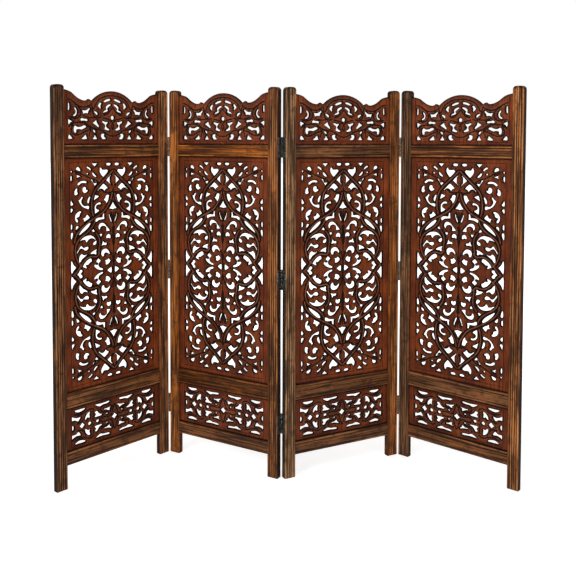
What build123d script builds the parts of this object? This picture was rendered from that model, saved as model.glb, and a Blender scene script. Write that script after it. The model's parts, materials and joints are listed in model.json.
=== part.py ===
from build123d import *
from math import cos, radians, sin, sqrt
import os

os.makedirs("parts", exist_ok=True)

# Four-leaf pierced jali screen, standing in a zigzag.
# Millimetres, +Z up, floor at Z = 0, fronts facing -Y, origin under the middle of the whole row.

# ---------------------------------------------------------------- driving dimensions

screen_height = 1524.0
leaf_width = 527.0
fold_gap = 5.0  # between the edges of two leaves lying flat
leaf_angles = [47.5, -30.4, 27.4, -40.6]  # turn of each leaf about +Z, in degrees

# stiles
stile_width = 45.0
stile_thickness = 27.0
stile_arris = 2.0
stile_crown = 3.0  # rise of the arched top
stile_shoulder_radius = 11.0

# rails, from the floor up
leg_height = 88.0
bottom_rail_height = 49.0
lower_panel_height = 168.0
middle_rail_height = 57.0
upper_rail_height = 46.0
rail_thickness = 23.0
rail_arris = 3.0
tongue_depth = 8.0  # how far stub tenons and panel edges enter the grooves

# panels
panel_thickness = 10.0
main_field_side = 29.5  # plain border beside the pierced field
main_field_end = 24.0
lower_field_side = 26.0
lower_field_end = 16.5

# crest board, heights above the upper rail
crest_shoulder = 201.0
crest_dip = 165.0
crest_bump = 173.0
crest_cusp = 167.0
crest_dome = 207.0
post_above_crest = 24.0  # stile top above the crest's shoulder
dome_half_width = 94.0
bump_half_width = 109.0
dip_half_width = 131.0
wave_half_width = 169.0

# hinges
lowest_hinge = 212.0  # centre above the floor
highest_hinge = 232.0  # centre below the tops of the stiles
middle_hinge_rise = 26.0  # centre above halfway between the other two
hinge_length = 76.0
knuckle_count = 3
knuckle_gap = 0.4
barrel_flats = 8  # forged barrels and pins are worked to flats, not turned round
barrel_radius = 4.5  # to the barrel's corners
barrel_clearance = 0.4
pin_radius = 2.2  # to the pin's corners
pin_clearance = 0.05
plate_thickness = 2.0
plate_margin = 2.0  # from the plate's free edge to the far face of the stile
pin_stand_off = 2.5  # pin centre outside the face that the leaves fold towards

# ---------------------------------------------------------------- derived levels and places

bottom_rail_level = leg_height
lower_panel_level = bottom_rail_level + bottom_rail_height
middle_rail_level = lower_panel_level + lower_panel_height
main_panel_level = middle_rail_level + middle_rail_height
crest_shoulder_level = screen_height - post_above_crest
crest_level = crest_shoulder_level - crest_shoulder
upper_rail_level = crest_level - upper_rail_height
main_panel_height = upper_rail_level - main_panel_level

panel_width = leaf_width - 2 * stile_width  # seen between the stiles
middle = leaf_width / 2
rail_setback = (stile_thickness - rail_thickness) / 2
panel_setback = (stile_thickness - panel_thickness) / 2

top_hinge_level = screen_height - highest_hinge
middle_hinge_level = (lowest_hinge + top_hinge_level) / 2 + middle_hinge_rise
hinge_levels = [lowest_hinge, middle_hinge_level, top_hinge_level]  # centres above the floor

# hinge sections, measured from the pin: across the fold, and into the leaf's thickness
bore_radius = pin_radius + pin_clearance
plate_inside = fold_gap / 2 - plate_thickness
plate_start = sqrt((barrel_radius + barrel_clearance) ** 2 - plate_inside**2)
plate_end = pin_stand_off + stile_thickness - plate_margin


def along(angle):
    """Unit vector across a leaf, from its left stile to its right stile."""
    return Vector(cos(radians(angle)), sin(radians(angle)), 0)


def facing(angle):
    """Unit vector out of a leaf's front face."""
    return Vector(sin(radians(angle)), -cos(radians(angle)), 0)


def chain_of_leaves():
    """Front left corner of each leaf and the pin of each fold.

    The first and third pins stand before the fronts and the second behind the backs,
    so the leaves close front to front, back to back and front to front.
    """
    corner = Vector(0, 0, 0)
    corners = []
    pins = []
    for number, angle in enumerate(leaf_angles):
        corners.append(corner)
        if number == len(leaf_angles) - 1:
            break
        following = leaf_angles[number + 1]
        front_pin = number % 2 == 0
        reach = pin_stand_off if front_pin else -(stile_thickness + pin_stand_off)
        pin = corner + along(angle) * (leaf_width + fold_gap / 2) + facing(angle) * reach
        pins.append(pin)
        corner = pin + along(following) * (fold_gap / 2) - facing(following) * reach
    return corners, pins


def footprint_middle(corners, pins):
    """Middle of the box round all the leaves and hinge plates, seen from above."""
    arris_points = [
        (0, stile_arris),
        (stile_arris, 0),
        (leaf_width - stile_arris, 0),
        (leaf_width, stile_arris),
    ]
    outline = []
    for corner, angle in zip(corners, leaf_angles):
        for across, inset in arris_points:
            for depth in (inset, stile_thickness - inset):
                outline.append(corner + along(angle) * across - facing(angle) * depth)
    for fold, pin in enumerate(pins):
        into_leaf = -plate_end if fold % 2 == 0 else plate_end
        for angle, inside in ((leaf_angles[fold], -plate_inside), (leaf_angles[fold + 1], plate_inside)):
            outline.append(pin + along(angle) * inside + facing(angle) * into_leaf)
    xs = [point.X for point in outline]
    ys = [point.Y for point in outline]
    return Vector((min(xs) + max(xs)) / 2, (min(ys) + max(ys)) / 2, 0)


leaf_corners, fold_pins = chain_of_leaves()
row_middle = footprint_middle(leaf_corners, fold_pins)
leaf_corners = [corner - row_middle for corner in leaf_corners]
fold_pins = [pin - row_middle for pin in fold_pins]


def leaf_plane(number, depth=0.0):
    """Plane on a leaf: X across, Y up, normal to the front, set back by a depth."""
    angle = leaf_angles[number]
    front = Plane(origin=leaf_corners[number], x_dir=along(angle), z_dir=facing(angle))
    return front.offset(-depth)


# ---------------------------------------------------------------- the pierced pattern
# Each opening is a ring of corners (x, y, bow), clockwise. The bow is how far the side that
# starts at the corner swells out of the opening, or is hollowed into it when negative.
# The main and lower patterns are drawn in their top left quarters, from the field's corner.
# The crest's is drawn for its left half, from the middle of the upper rail's top edge.

main_drawing = (378.0, 843.0)
lower_drawing = (385.0, 135.0)
crest_drawing_width = 437.0

main_quarter = {
    "tulip": [(133, 15, 0), (147, 27, 0), (169, 30, 0), (145, 57, 0), (128, 35, 0)],
    "spear_wing": [(182, 46, 0), (175, 67, 0), (183, 88, 0), (157, 66, 0)],
    "shoulder": [(146, 79, 0), (168, 99, 0), (150, 113, 0), (139, 102, 0), (118, 107, 0)],
    "scroll_band": [(28, 79, 0), (50, 66, 0), (73, 71, 0), (52, 75, 0), (37, 84, 0)],
    "left_hook": [(50, 124, 0), (50, 148, 0), (82, 163, 0), (81, 176, 0), (50, 163, 0), (35, 138, 0)],
    "right_hook": [
        (134, 155, 0), (117, 165, 0), (128, 182, 0), (105, 196, 0), (105, 166, 0), (116, 154, 0),
    ],
    "kite": [(157, 125, 0), (171, 125, 0), (158, 162, 0), (146, 141, 0)],
    "bird": [(71, 194, 0), (85, 208, 0), (55, 226, 0), (53, 210, 0)],
    "long_leaf": [(87, 228, 7), (31, 275, 0)],
    "arch": [
        (122, 259, 0), (126, 241, 0), (141, 233, 0), (160, 244, 0),
        (176, 267, 0), (157, 268, 0), (141, 247, 0),
    ],
    "wide_scroll": [
        (36, 299, 0), (56, 282, 0), (85, 277, 0), (112, 292, 0),
        (98, 317, 0), (100, 296, 0), (66, 303, 0),
    ],
    "horseshoe": [
        (139, 365, 0), (136, 345, 0), (151, 336, 0), (168, 345, 0),
        (174, 360, 0), (156, 352, 0),
    ],
    "side_leaf": [(49, 393, 0), (64, 375, 0), (88, 366, 0), (92, 379, 0), (70, 404, 0)],
    "anchor": [
        (121, 370, 0), (133, 381, 0), (125, 393, 0), (141, 415, 0), (115, 411, 0), (100, 394, 0),
    ],
}
main_middle_column = {
    "spire": [(189, 150, 0), (208, 181, 0), (170, 181, 0)],
}
main_middle_row = {
    "side_point": [(0, 376, 0), (24, 421.5, 0), (0, 467, 0)],
    "arrow": [(181, 409, 0), (181, 434, 0), (160, 421.5, 0)],
}
lower_quarter = {
    "top_slot": [(103, 0, 0), (171, 1, 0), (160, 10, 0), (124, 13, 0)],
    "bow": [(0, 22, 0), (40, 32, 0), (28, 49, 0), (0, 40, 0)],
    "wing": [(81, 18, 0), (80, 48, 0), (58, 50, 0)],
    "bone": [(103, 27, 0), (118, 28, 0), (137, 50, 0), (98, 51, 0)],
    "beak": [(142, 27, 0), (181, 22, 0), (169, 41, 0)],
}
lower_middle_row = {
    "lozenge": [(45, 55, 0), (58, 67.5, 0), (45, 80, 0), (31, 67.5, 0)],
}
lower_centre = {
    "diamond": [(192.5, 53, 0), (206, 67.5, 0), (192.5, 82, 0), (179, 67.5, 0)],
}
crest_half = {
    "block": [(-137, 131, 0), (-102, 141, 0), (-109, 119, 0), (-131, 117, 0)],
    "worm": [(-172, 70, 0), (-118, 72, 0), (-143, 58, 0), (-163, 62, 0), (-171, 46, 0)],
    "hourglass": [(-91, 58, 0), (-77, 52, 0), (-70, 23, 0), (-92, 23, 0), (-83, 45, 0)],
    "thorn": [(-75, 96, 0), (-61, 68, 0), (-92, 84, 0)],
    "rim_slot": [(-41, 168, 0), (-10, 178, 0), (-9, 167, 0), (-38, 163, 0)],
    "petal_gap": [(-49, 92, 0), (-20, 88, 0), (-30, 74, 0), (-13, 56, 0), (-39, 62, 0)],
}
crest_centre = {
    "flower_eye": [(0, 113, 0), (9, 104, 0), (0, 95, 0), (-9, 104, 0)],
}


def cut_opening(corners, place):
    """One opening of the jali, in the sketch that is being drawn."""
    following = corners[1:] + corners[:1]
    with BuildLine() as ring:
        for (x, y, bow), (next_x, next_y, _) in zip(corners, following):
            start = place(x, y)
            end = place(next_x, next_y)
            if bow:
                SagittaArc(start, end, bow)
            else:
                Line(start, end)
    make_face(ring.edges())


def field_placer(drawing, width, height, centre_level):
    """Turns drawn places, right and down from a field's corner, into places on the leaf."""
    stretch_x = width / drawing[0]
    stretch_y = height / drawing[1]
    left = middle - width / 2
    top = centre_level + height / 2
    return lambda x, y: (left + x * stretch_x, top - y * stretch_y)


def crest_placer():
    """Turns drawn places, from the middle of the crest's foot, into places on the leaf."""
    stretch_x = panel_width / crest_drawing_width
    return lambda x, y: (middle + x * stretch_x, crest_level + y)


def pierced_field(quarter, column, row, centre, place, centre_level):
    """A whole pattern: the quarter turned over both middle lines, and what stands on them."""
    upright = Plane.YZ.offset(middle)
    level = Plane.XZ.offset(-centre_level)
    with BuildSketch() as corner_openings:
        for corners in quarter.values():
            cut_opening(corners, place)
        mirror(about=upright)
        mirror(about=level)
    with BuildSketch() as column_openings:
        for corners in column.values():
            cut_opening(corners, place)
        if column:
            mirror(about=level)
    with BuildSketch() as row_openings:
        for corners in row.values():
            cut_opening(corners, place)
        if row:
            mirror(about=upright)
    with BuildSketch() as pattern:
        add(corner_openings.sketch)
        if column:
            add(column_openings.sketch)
        if row:
            add(row_openings.sketch)
        for corners in centre.values():
            cut_opening(corners, place)
    return pattern.sketch


main_centre_level = main_panel_level + main_panel_height / 2
main_field_width = panel_width - 2 * main_field_side
main_field_height = main_panel_height - 2 * main_field_end
main_pattern = pierced_field(
    main_quarter,
    main_middle_column,
    main_middle_row,
    {},
    field_placer(main_drawing, main_field_width, main_field_height, main_centre_level),
    main_centre_level,
)

lower_centre_level = lower_panel_level + lower_panel_height / 2
lower_field_width = panel_width - 2 * lower_field_side
lower_field_height = lower_panel_height - 2 * lower_field_end
lower_pattern = pierced_field(
    lower_quarter,
    {},
    lower_middle_row,
    lower_centre,
    field_placer(lower_drawing, lower_field_width, lower_field_height, lower_centre_level),
    lower_centre_level,
)

with BuildSketch() as crest_pattern:
    for crest_corners in crest_half.values():
        cut_opening(crest_corners, crest_placer())
    mirror(about=Plane.YZ.offset(middle))
    for crest_corners in crest_centre.values():
        cut_opening(crest_corners, crest_placer())

# ---------------------------------------------------------------- board faces, in leaf places


def grooved_board(level, height, pattern):
    """A pierced board whose edges fill the grooves all round."""
    with BuildSketch() as board:
        with Locations((middle, level + height / 2)):
            Rectangle(panel_width + 2 * tongue_depth, height + 2 * tongue_depth)
        add(pattern, mode=Mode.SUBTRACT)
    return board.sketch


main_board = grooved_board(main_panel_level, main_panel_height, main_pattern)
lower_board = grooved_board(lower_panel_level, lower_panel_height, lower_pattern)

# Crest board: a wave falls from each stile to a dip, a small bump and a cusp, and a dome
# spans the middle.
crest_edge = panel_width / 2 + tongue_depth
wave_level = crest_level + (crest_shoulder + crest_dip) / 2 - 2
with BuildSketch() as crest_board:
    with BuildLine() as crest_outline:
        shoulder = (middle - crest_edge, crest_shoulder_level)
        stile_line = (middle - panel_width / 2, crest_shoulder_level)
        wave = (middle - wave_half_width, wave_level)
        dip = (middle - dip_half_width, crest_level + crest_dip)
        bump = (middle - bump_half_width, crest_level + crest_bump)
        cusp = (middle - dome_half_width, crest_level + crest_cusp)
        crown = (middle, crest_level + crest_dome)
        far_cusp = (middle + dome_half_width, crest_level + crest_cusp)
        foot = (middle - crest_edge, crest_level - tongue_depth)
        foot_middle = (middle, crest_level - tongue_depth)
        Polyline(foot_middle, foot, shoulder, stile_line)
        SagittaArc(stile_line, wave, 2.5)
        SagittaArc(wave, dip, -3.0)
        Polyline(dip, bump, cusp)
        mirror(about=Plane.YZ.offset(middle))
        ThreePointArc(cusp, crown, far_cusp)
    make_face()
    add(crest_pattern.sketch, mode=Mode.SUBTRACT)

# ---------------------------------------------------------------- stiles


def make_stile(number, side):
    """An upright: arched top, eased arrises, and one groove on its inner edge."""
    left = side == "left"
    outer = 0 if left else leaf_width
    inner = stile_width if left else leaf_width - stile_width
    inward = 1 if left else -1
    centre = (outer + inner) / 2
    half = stile_width / 2
    spring_level = screen_height - stile_crown
    with BuildPart() as stile:
        with BuildSketch(leaf_plane(number)):
            with BuildLine():
                Polyline(
                    (centre - half, spring_level),
                    (centre - half, 0),
                    (centre + half, 0),
                    (centre + half, spring_level),
                )
                ThreePointArc(
                    (centre - half, spring_level),
                    (centre, screen_height),
                    (centre + half, spring_level),
                )
            make_face()
            fillet(vertices().group_by(Axis.Y)[-1], radius=stile_shoulder_radius)
        extrude(amount=-stile_thickness)
        chamfer(edges().filter_by(Axis.Z).group_by(SortBy.LENGTH)[-1], length=stile_arris)
        groove_bottom = bottom_rail_level
        groove_length = crest_shoulder_level - groove_bottom
        with BuildSketch(leaf_plane(number, panel_setback)):
            with Locations((inner - inward * tongue_depth / 2, groove_bottom + groove_length / 2)):
                Rectangle(tongue_depth, groove_length)
        extrude(amount=-panel_thickness, mode=Mode.SUBTRACT)
    return stile.part


# ---------------------------------------------------------------- rails


def make_rail(number, level, height, groove_below, groove_above):
    """A cross rail with eased arrises, stub tenons and grooves for the boards it holds."""
    centre_level = level + height / 2
    with BuildPart() as rail:
        with BuildSketch(leaf_plane(number, rail_setback)):
            with Locations((middle, centre_level)):
                Rectangle(panel_width, height)
        extrude(amount=-rail_thickness)
        chamfer(edges().filter_by(Axis((0, 0, 0), along(leaf_angles[number]))), length=rail_arris)
        with BuildSketch(leaf_plane(number, panel_setback)):
            for end in (-1, 1):
                with Locations((middle + end * (panel_width + tongue_depth) / 2, centre_level)):
                    Rectangle(tongue_depth, height)
        extrude(amount=-panel_thickness)
        grooves = []
        if groove_below:
            grooves.append(level + tongue_depth / 2)
        if groove_above:
            grooves.append(level + height - tongue_depth / 2)
        with BuildSketch(leaf_plane(number, panel_setback)):
            for groove_level in grooves:
                with Locations((middle, groove_level)):
                    Rectangle(panel_width + 2 * tongue_depth, tongue_depth)
        extrude(amount=-panel_thickness, mode=Mode.SUBTRACT)
    return rail.part


def make_board(number, face):
    """A pierced board set midway in the leaf's thickness."""
    with BuildPart() as board:
        with BuildSketch(leaf_plane(number, panel_setback)):
            add(face)
        extrude(amount=-panel_thickness)
    return board.part


# ---------------------------------------------------------------- hinges

knuckle_length = (hinge_length - (knuckle_count - 1) * knuckle_gap) / knuckle_count


def hinge_plane(fold, angle, level):
    """Level plane on a fold's pin: X along the leaf, Y from front to back."""
    origin = fold_pins[fold] + Vector(0, 0, level)
    return Plane(origin=origin, x_dir=along(angle), z_dir=(0, 0, 1))


def make_plates(fold, side):
    """The plates that one leaf of a fold carries, with their own knuckles round the pin."""
    left = side == "left"
    angle = leaf_angles[fold] if left else leaf_angles[fold + 1]
    towards_leaf = -1 if left else 1
    into_leaf = 1 if fold % 2 == 0 else -1
    plate_x = towards_leaf * (fold_gap - plate_thickness) / 2
    plate_y = into_leaf * (plate_start + plate_end) / 2
    tab_y = into_leaf * (bore_radius + plate_start) / 2
    own_knuckles = range(0 if left else 1, knuckle_count, 2)
    with BuildPart() as plates:
        for centre in hinge_levels:
            foot = centre - hinge_length / 2
            with BuildSketch(hinge_plane(fold, angle, foot)):
                with Locations((plate_x, plate_y)):
                    Rectangle(plate_thickness, plate_end - plate_start)
            extrude(amount=hinge_length)
            for knuckle in own_knuckles:
                knuckle_foot = foot + knuckle * (knuckle_length + knuckle_gap)
                with BuildSketch(hinge_plane(fold, angle, knuckle_foot)):
                    RegularPolygon(barrel_radius, barrel_flats)
                    with Locations((plate_x, tab_y)):
                        Rectangle(plate_thickness, plate_start - bore_radius)
                    RegularPolygon(bore_radius, barrel_flats, major_radius=False, mode=Mode.SUBTRACT)
                extrude(amount=knuckle_length)
    return plates.part


def make_pins(fold):
    """The three pins of a fold."""
    with BuildPart() as pins:
        for centre in hinge_levels:
            with BuildSketch(hinge_plane(fold, 0, centre - hinge_length / 2)):
                RegularPolygon(pin_radius, barrel_flats)
            extrude(amount=hinge_length)
    return pins.part


# ---------------------------------------------------------------- all the pieces


def keep(piece, name):
    """Labels a piece and writes it under its own name."""
    piece.label = name
    export_step(piece, "parts/" + name + ".step")


for leaf in range(len(leaf_angles)):
    name = f"leaf_{leaf + 1}_"
    keep(make_stile(leaf, "left"), name + "left_stile")
    keep(make_stile(leaf, "right"), name + "right_stile")
    keep(make_rail(leaf, bottom_rail_level, bottom_rail_height, False, True), name + "bottom_rail")
    keep(make_rail(leaf, middle_rail_level, middle_rail_height, True, True), name + "middle_rail")
    keep(make_rail(leaf, upper_rail_level, upper_rail_height, True, True), name + "upper_rail")
    keep(make_board(leaf, lower_board), name + "lower_panel")
    keep(make_board(leaf, main_board), name + "main_panel")
    keep(make_board(leaf, crest_board.sketch), name + "crest_panel")

for fold in range(len(leaf_angles) - 1):
    name = f"fold_{fold + 1}_"
    keep(make_plates(fold, "left"), name + "left_hinge_plates")
    keep(make_plates(fold, "right"), name + "right_hinge_plates")
    keep(make_pins(fold), name + "hinge_pins")
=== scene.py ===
import json
import math

import bmesh
import bpy
import numpy as np
from mathutils import Matrix, Vector, geometry, kdtree, noise


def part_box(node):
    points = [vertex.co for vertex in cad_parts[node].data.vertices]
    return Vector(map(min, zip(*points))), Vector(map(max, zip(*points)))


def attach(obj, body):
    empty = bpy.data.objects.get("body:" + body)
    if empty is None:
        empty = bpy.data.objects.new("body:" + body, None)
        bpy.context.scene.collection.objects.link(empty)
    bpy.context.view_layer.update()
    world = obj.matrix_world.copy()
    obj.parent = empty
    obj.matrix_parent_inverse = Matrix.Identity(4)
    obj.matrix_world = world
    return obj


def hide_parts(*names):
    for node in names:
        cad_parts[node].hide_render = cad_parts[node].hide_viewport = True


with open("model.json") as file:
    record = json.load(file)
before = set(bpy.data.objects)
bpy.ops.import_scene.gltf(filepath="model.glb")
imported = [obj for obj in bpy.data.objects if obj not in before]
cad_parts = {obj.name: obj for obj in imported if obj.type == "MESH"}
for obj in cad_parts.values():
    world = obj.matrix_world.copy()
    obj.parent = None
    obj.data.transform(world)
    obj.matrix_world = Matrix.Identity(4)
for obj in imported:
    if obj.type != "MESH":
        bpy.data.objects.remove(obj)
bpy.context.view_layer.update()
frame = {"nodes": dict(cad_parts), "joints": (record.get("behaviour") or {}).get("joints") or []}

# A four-leaf jali screen. Pieces are drawn in leaf places, in millimetres: X across the leaf from
# the outer edge of its left stile, Y from its front to its back, Z up from the floor.

MM = 0.001
LEAVES = ["leaf_1", "leaf_2", "leaf_3", "leaf_4"]
FOLDS = ["fold_1", "fold_2", "fold_3"]
RAILS = ["bottom_rail", "middle_rail", "upper_rail"]
BOARDS = ["main_panel", "lower_panel", "crest_panel"]

# ---------------------------------------------------------------- places read from the frame


def node_points(node):
    """Corners of a CAD node at rest, one row each, in metres."""
    vertices = frame["nodes"][node].data.vertices
    points = np.empty(len(vertices) * 3)
    vertices.foreach_get("co", points)
    return np.unique(points.reshape(-1, 3).round(6), axis=0)


def leaf_frame(leaf):
    """Turns leaf places, in metres, into places in the row of leaves."""
    left = node_points(leaf + "_left_stile")
    right = node_points(leaf + "_right_stile")
    across = right.mean(axis=0) - left.mean(axis=0)
    turn = Matrix.Rotation(math.atan2(across[1], across[0]), 4, "Z")
    turned = np.vstack([left, right]) @ np.array(turn.to_3x3())
    corner = turn @ Vector((turned[:, 0].min(), turned[:, 1].min(), 0))
    return Matrix.Translation(corner) @ turn


def extents(kind):
    """Lowest and highest leaf places of one of the first leaf's CAD nodes, in millimetres."""
    inverse = np.array(leaf_frames["leaf_1"].inverted())
    points = node_points("leaf_1_" + kind) @ inverse[:3, :3].T + inverse[:3, 3]
    return points.min(axis=0) / MM, points.max(axis=0) / MM


leaf_frames = {leaf: leaf_frame(leaf) for leaf in LEAVES}
lows, highs = {}, {}
for kind in ["left_stile", "right_stile", *RAILS, *BOARDS]:
    lows[kind], highs[kind] = extents(kind)

CREST_SHOULDER = 201.0  # level of the crest's ends above its rail
leaf_width = highs["right_stile"][0]
stile_width, leaf_depth, screen_height = highs["left_stile"]
middle = leaf_width / 2
half_sight = middle - stile_width  # from a leaf's middle to the inner edge of a stile
board_front = lows["main_panel"][1]
board_back = highs["main_panel"][1]
tongue = stile_width - lows["main_panel"][0]
shoulder_level = lows["crest_panel"][2] + tongue + CREST_SHOULDER
crest_level = highs["upper_rail"][2]

joints = {joint["name"]: Vector(joint["pos_m"]) for joint in frame["joints"]}
first_pin = leaf_frames["leaf_1"].inverted() @ joints["fold_1"] / MM
half_gap = first_pin.x - leaf_width
pin_stand_off = -first_pin.y

# ---------------------------------------------------------------- the jali's drawing
# Every opening is a smooth closed line through places (x, y) in millimetres, right and down.
# A third value of 1 marks a sharp corner. The main and lower drawings are the top left quarters
# of their fields, and the crest's is its left half. Half openings end on a middle line.
# A drawing's size is what the whole pattern's board shows between stiles and between rails, and
# its middle is the place where its middle lines cross.

MAIN_SIZE = (437.0, 891.0)
MAIN_MIDDLE = (189.0, 421.5)
MAIN_OPENINGS = [
    [(91, 0, 1), (121, 0, 1), (114, 7), (107, 16, 1), (100, 8)],
    [(160, 0), (179, 0), (182, 4), (178, 10), (162, 10), (157, 5)],
    [(23, 20), (27, 13), (36, 12), (43, 18), (47, 32, 1), (36, 28), (27, 25)],
    [(69, 14), (75, 11), (84, 15), (91, 22), (91, 27), (86, 28), (79, 22), (71, 18)],
    [(132, 14, 1), (138, 17), (142, 24), (152, 25), (162, 24), (170, 30), (163, 40), (153, 50),
     (145, 57, 1), (135, 46), (128, 34), (128, 22)],
    [(0, 30), (4, 25), (9, 29), (5, 35)],
    [(0, 46), (4, 43), (8, 48), (7, 64), (3, 68), (0, 65)],
    [(24, 39, 1), (34, 44), (47, 49, 1), (36, 52), (24, 58, 1), (27, 48)],
    [(74, 34), (79, 39), (74, 44), (69, 39)],
    [(94, 37), (99, 33), (105, 39), (114, 48), (117, 53), (110, 54), (101, 50), (95, 43)],
    [(182, 44), (184, 48), (178, 55), (177, 66), (178, 77), (185, 86), (182, 89), (173, 81),
     (165, 74), (156, 67, 1), (168, 55)],
    [(88, 63), (91, 60), (97, 62), (101, 70), (105, 76), (112, 75), (120, 75, 1), (114, 83),
     (107, 91, 1), (100, 80), (93, 70)],
    [(28, 79), (35, 71), (46, 66), (58, 65), (70, 68), (74, 73), (69, 76), (58, 75), (48, 76),
     (40, 82), (33, 84)],
    [(146, 79), (156, 85), (169, 98, 1), (158, 103), (150, 114, 1), (145, 105), (136, 100),
     (128, 102), (121, 109), (116, 106), (128, 94), (138, 84)],
    [(61, 88), (69, 91), (70, 100, 1), (79, 103), (73, 110), (62, 114), (53, 109), (50, 100),
     (53, 91)],
    [(29, 91), (32, 96), (31, 105), (34, 113), (31, 118), (18, 122, 1), (15, 113), (17, 101),
     (23, 94)],
    [(45, 128), (50, 124), (56, 129), (52, 136), (49, 145), (53, 155), (62, 162), (76, 161),
     (82, 164), (83, 171), (80, 178, 1), (66, 173), (51, 166), (40, 154), (32, 138, 1), (40, 135)],
    [(85, 124), (88, 129), (85, 141), (81, 153), (76, 156), (71, 149), (72, 140), (77, 131)],
    [(108, 121), (117, 124), (129, 128), (118, 136), (109, 141), (100, 149, 1), (102, 136)],
    [(156, 126), (164, 123), (173, 125), (172, 136), (169, 147), (162, 158), (157, 163), (155, 152),
     (144, 142, 1), (151, 137)],
    [(0, 138), (3, 135), (8, 144), (14, 154), (10, 158), (0, 158)],
    [(0, 169), (7, 168), (12, 174), (8, 181), (3, 187), (0, 186)],
    [(116, 154), (126, 151), (135, 153), (135, 161), (124, 161), (116, 165), (114, 173), (120, 179),
     (129, 182), (121, 190), (105, 198, 1), (104, 184), (104, 169), (108, 160)],
    [(44, 180), (49, 184), (43, 191), (40, 201), (32, 205), (27, 206, 1), (32, 213), (35, 221),
     (28, 225), (20, 218), (17, 206), (19, 194), (27, 185), (35, 181)],
    [(69, 194), (76, 197), (81, 203), (86, 208), (78, 215), (66, 221), (55, 228, 1), (56, 218),
     (52, 209), (62, 206), (66, 200)],
    [(143, 195), (150, 196), (150, 207), (152, 219, 1), (140, 220), (126, 222), (117, 227),
     (108, 231, 1), (107, 217), (118, 211), (130, 210), (138, 210), (140, 202)],
    [(169, 199), (175, 201), (176, 209), (180, 217), (185, 232), (181, 235), (175, 227), (171, 216),
     (168, 206)],
    [(0, 229), (3, 226), (8, 231), (8, 246), (4, 251), (0, 249)],
    [(23, 237), (31, 236), (36, 240), (31, 247), (25, 252), (19, 259, 1), (20, 247)],
    [(87, 227), (88, 233), (81, 244), (70, 254), (55, 264), (42, 272), (31, 277, 1), (39, 262),
     (51, 249), (65, 237), (78, 229)],
    [(100, 248, 1), (103, 257), (108, 266, 1), (98, 265), (88, 260, 1), (94, 257)],
    [(122, 256), (120, 249), (122, 240), (129, 233), (140, 232), (152, 237), (162, 248), (171, 258),
     (178, 268, 1), (166, 268), (156, 269), (156, 260), (155, 252), (147, 246), (138, 247),
     (132, 252), (131, 258), (126, 261)],
    [(0, 260), (9, 259), (12, 264), (10, 276), (5, 288), (0, 286)],
    [(34, 300), (41, 291), (53, 282), (68, 277), (84, 276), (98, 281), (109, 292), (115, 305),
     (111, 315), (102, 318), (95, 313), (97, 306), (107, 299, 1), (97, 291), (86, 291), (77, 296),
     (71, 304), (65, 302), (61, 293, 1), (49, 294)],
    [(125, 275), (133, 275), (141, 275), (138, 283), (134, 290, 1), (129, 283)],
    [(155, 293), (156, 285), (162, 279), (170, 278), (178, 284), (179, 294), (175, 300), (168, 295),
     (159, 297)],
    [(23, 343), (26, 334), (34, 323), (43, 312), (49, 315), (55, 321), (66, 319), (76, 319),
     (79, 326), (70, 335), (58, 333), (51, 327), (43, 326), (36, 333), (29, 343)],
    [(140, 300), (145, 304), (149, 310), (158, 311), (162, 316), (159, 322), (147, 321),
     (131, 325, 1), (137, 313)],
    [(82, 349), (90, 341), (103, 335), (118, 330, 1), (113, 342), (114, 351), (110, 356),
     (101, 351), (91, 351)],
    [(139, 366), (133, 359), (132, 347), (138, 338), (149, 334), (162, 337), (171, 347), (175, 357),
     (170, 363), (164, 355), (155, 352), (149, 357), (147, 365)],
    [(43, 345), (51, 344), (54, 349, 1), (62, 350), (72, 345), (73, 350), (63, 358), (51, 366),
     (42, 377), (34, 381, 1), (33, 366), (36, 352)],
    [(0, 364), (5, 366), (12, 381), (25, 395, 1), (14, 406), (5, 417), (0, 416)],
    [(84, 365), (91, 368), (94, 379, 1), (83, 385), (76, 391), (68, 391), (71, 405, 1), (62, 402),
     (48, 395, 1), (56, 383), (69, 371)],
    [(120, 368), (127, 374), (134, 380), (127, 387), (123, 395), (128, 405), (144, 413), (141, 419),
     (127, 417), (111, 410), (99, 397), (103, 391), (114, 394), (117, 389), (108, 381), (114, 374)],
    [(167, 371), (171, 377), (178, 384), (172, 394), (161, 400), (152, 398), (152, 388), (149, 380),
     (160, 378)],
]
MAIN_HALF_OPENINGS = [
    [(189, 147, 1), (184, 158), (178, 168), (168, 180, 1), (179, 181), (189, 184)],
    [(24, 421.5, 1), (32, 414), (37, 405), (45, 404), (52, 410), (50, 415), (43, 421.5)],
    [(159, 421.5, 1), (167, 415), (176, 410), (182, 409), (184, 421.5)],
]
MAIN_STEMS = [
    [(186, 30), (165, 50), (148, 65), (130, 81), (112, 98), (100, 115), (93, 135), (90, 160),
     (92, 185), (97, 203)],
    [(183, 118), (178, 140), (167, 160), (150, 183), (128, 199), (104, 211), (80, 224), (55, 240),
     (34, 258), (20, 276), (13, 300)],
    [(118, 203), (105, 222), (97, 238), (84, 253), (66, 267), (46, 279), (30, 293), (20, 312),
     (17, 335), (22, 360), (33, 380), (44, 392)],
    [(108, 268), (122, 290), (125, 312), (122, 332), (120, 350)],
    [(125, 350), (112, 362), (95, 360), (78, 360), (62, 368), (46, 382), (34, 398), (20, 414),
     (10, 421)],
]
MAIN_VEINS = [
    [(14, 27), (30, 34), (48, 39.5), (70, 51), (88, 57), (107, 63), (122, 74)],
    [(189, 192), (189, 421.5)],
    [(189, 240), (184, 212), (178, 192)],
    [(189, 330), (184, 306), (186, 276), (183, 250)],
    [(189, 400), (184, 376), (181, 352)],
    [(189, 100), (186, 112), (189, 126)],
    [(130, 100), (146, 112), (162, 116), (180, 114)],
]
LOWER_SIZE = (437.0, 168.0)
LOWER_MIDDLE = (192.5, 67.5)
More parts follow.
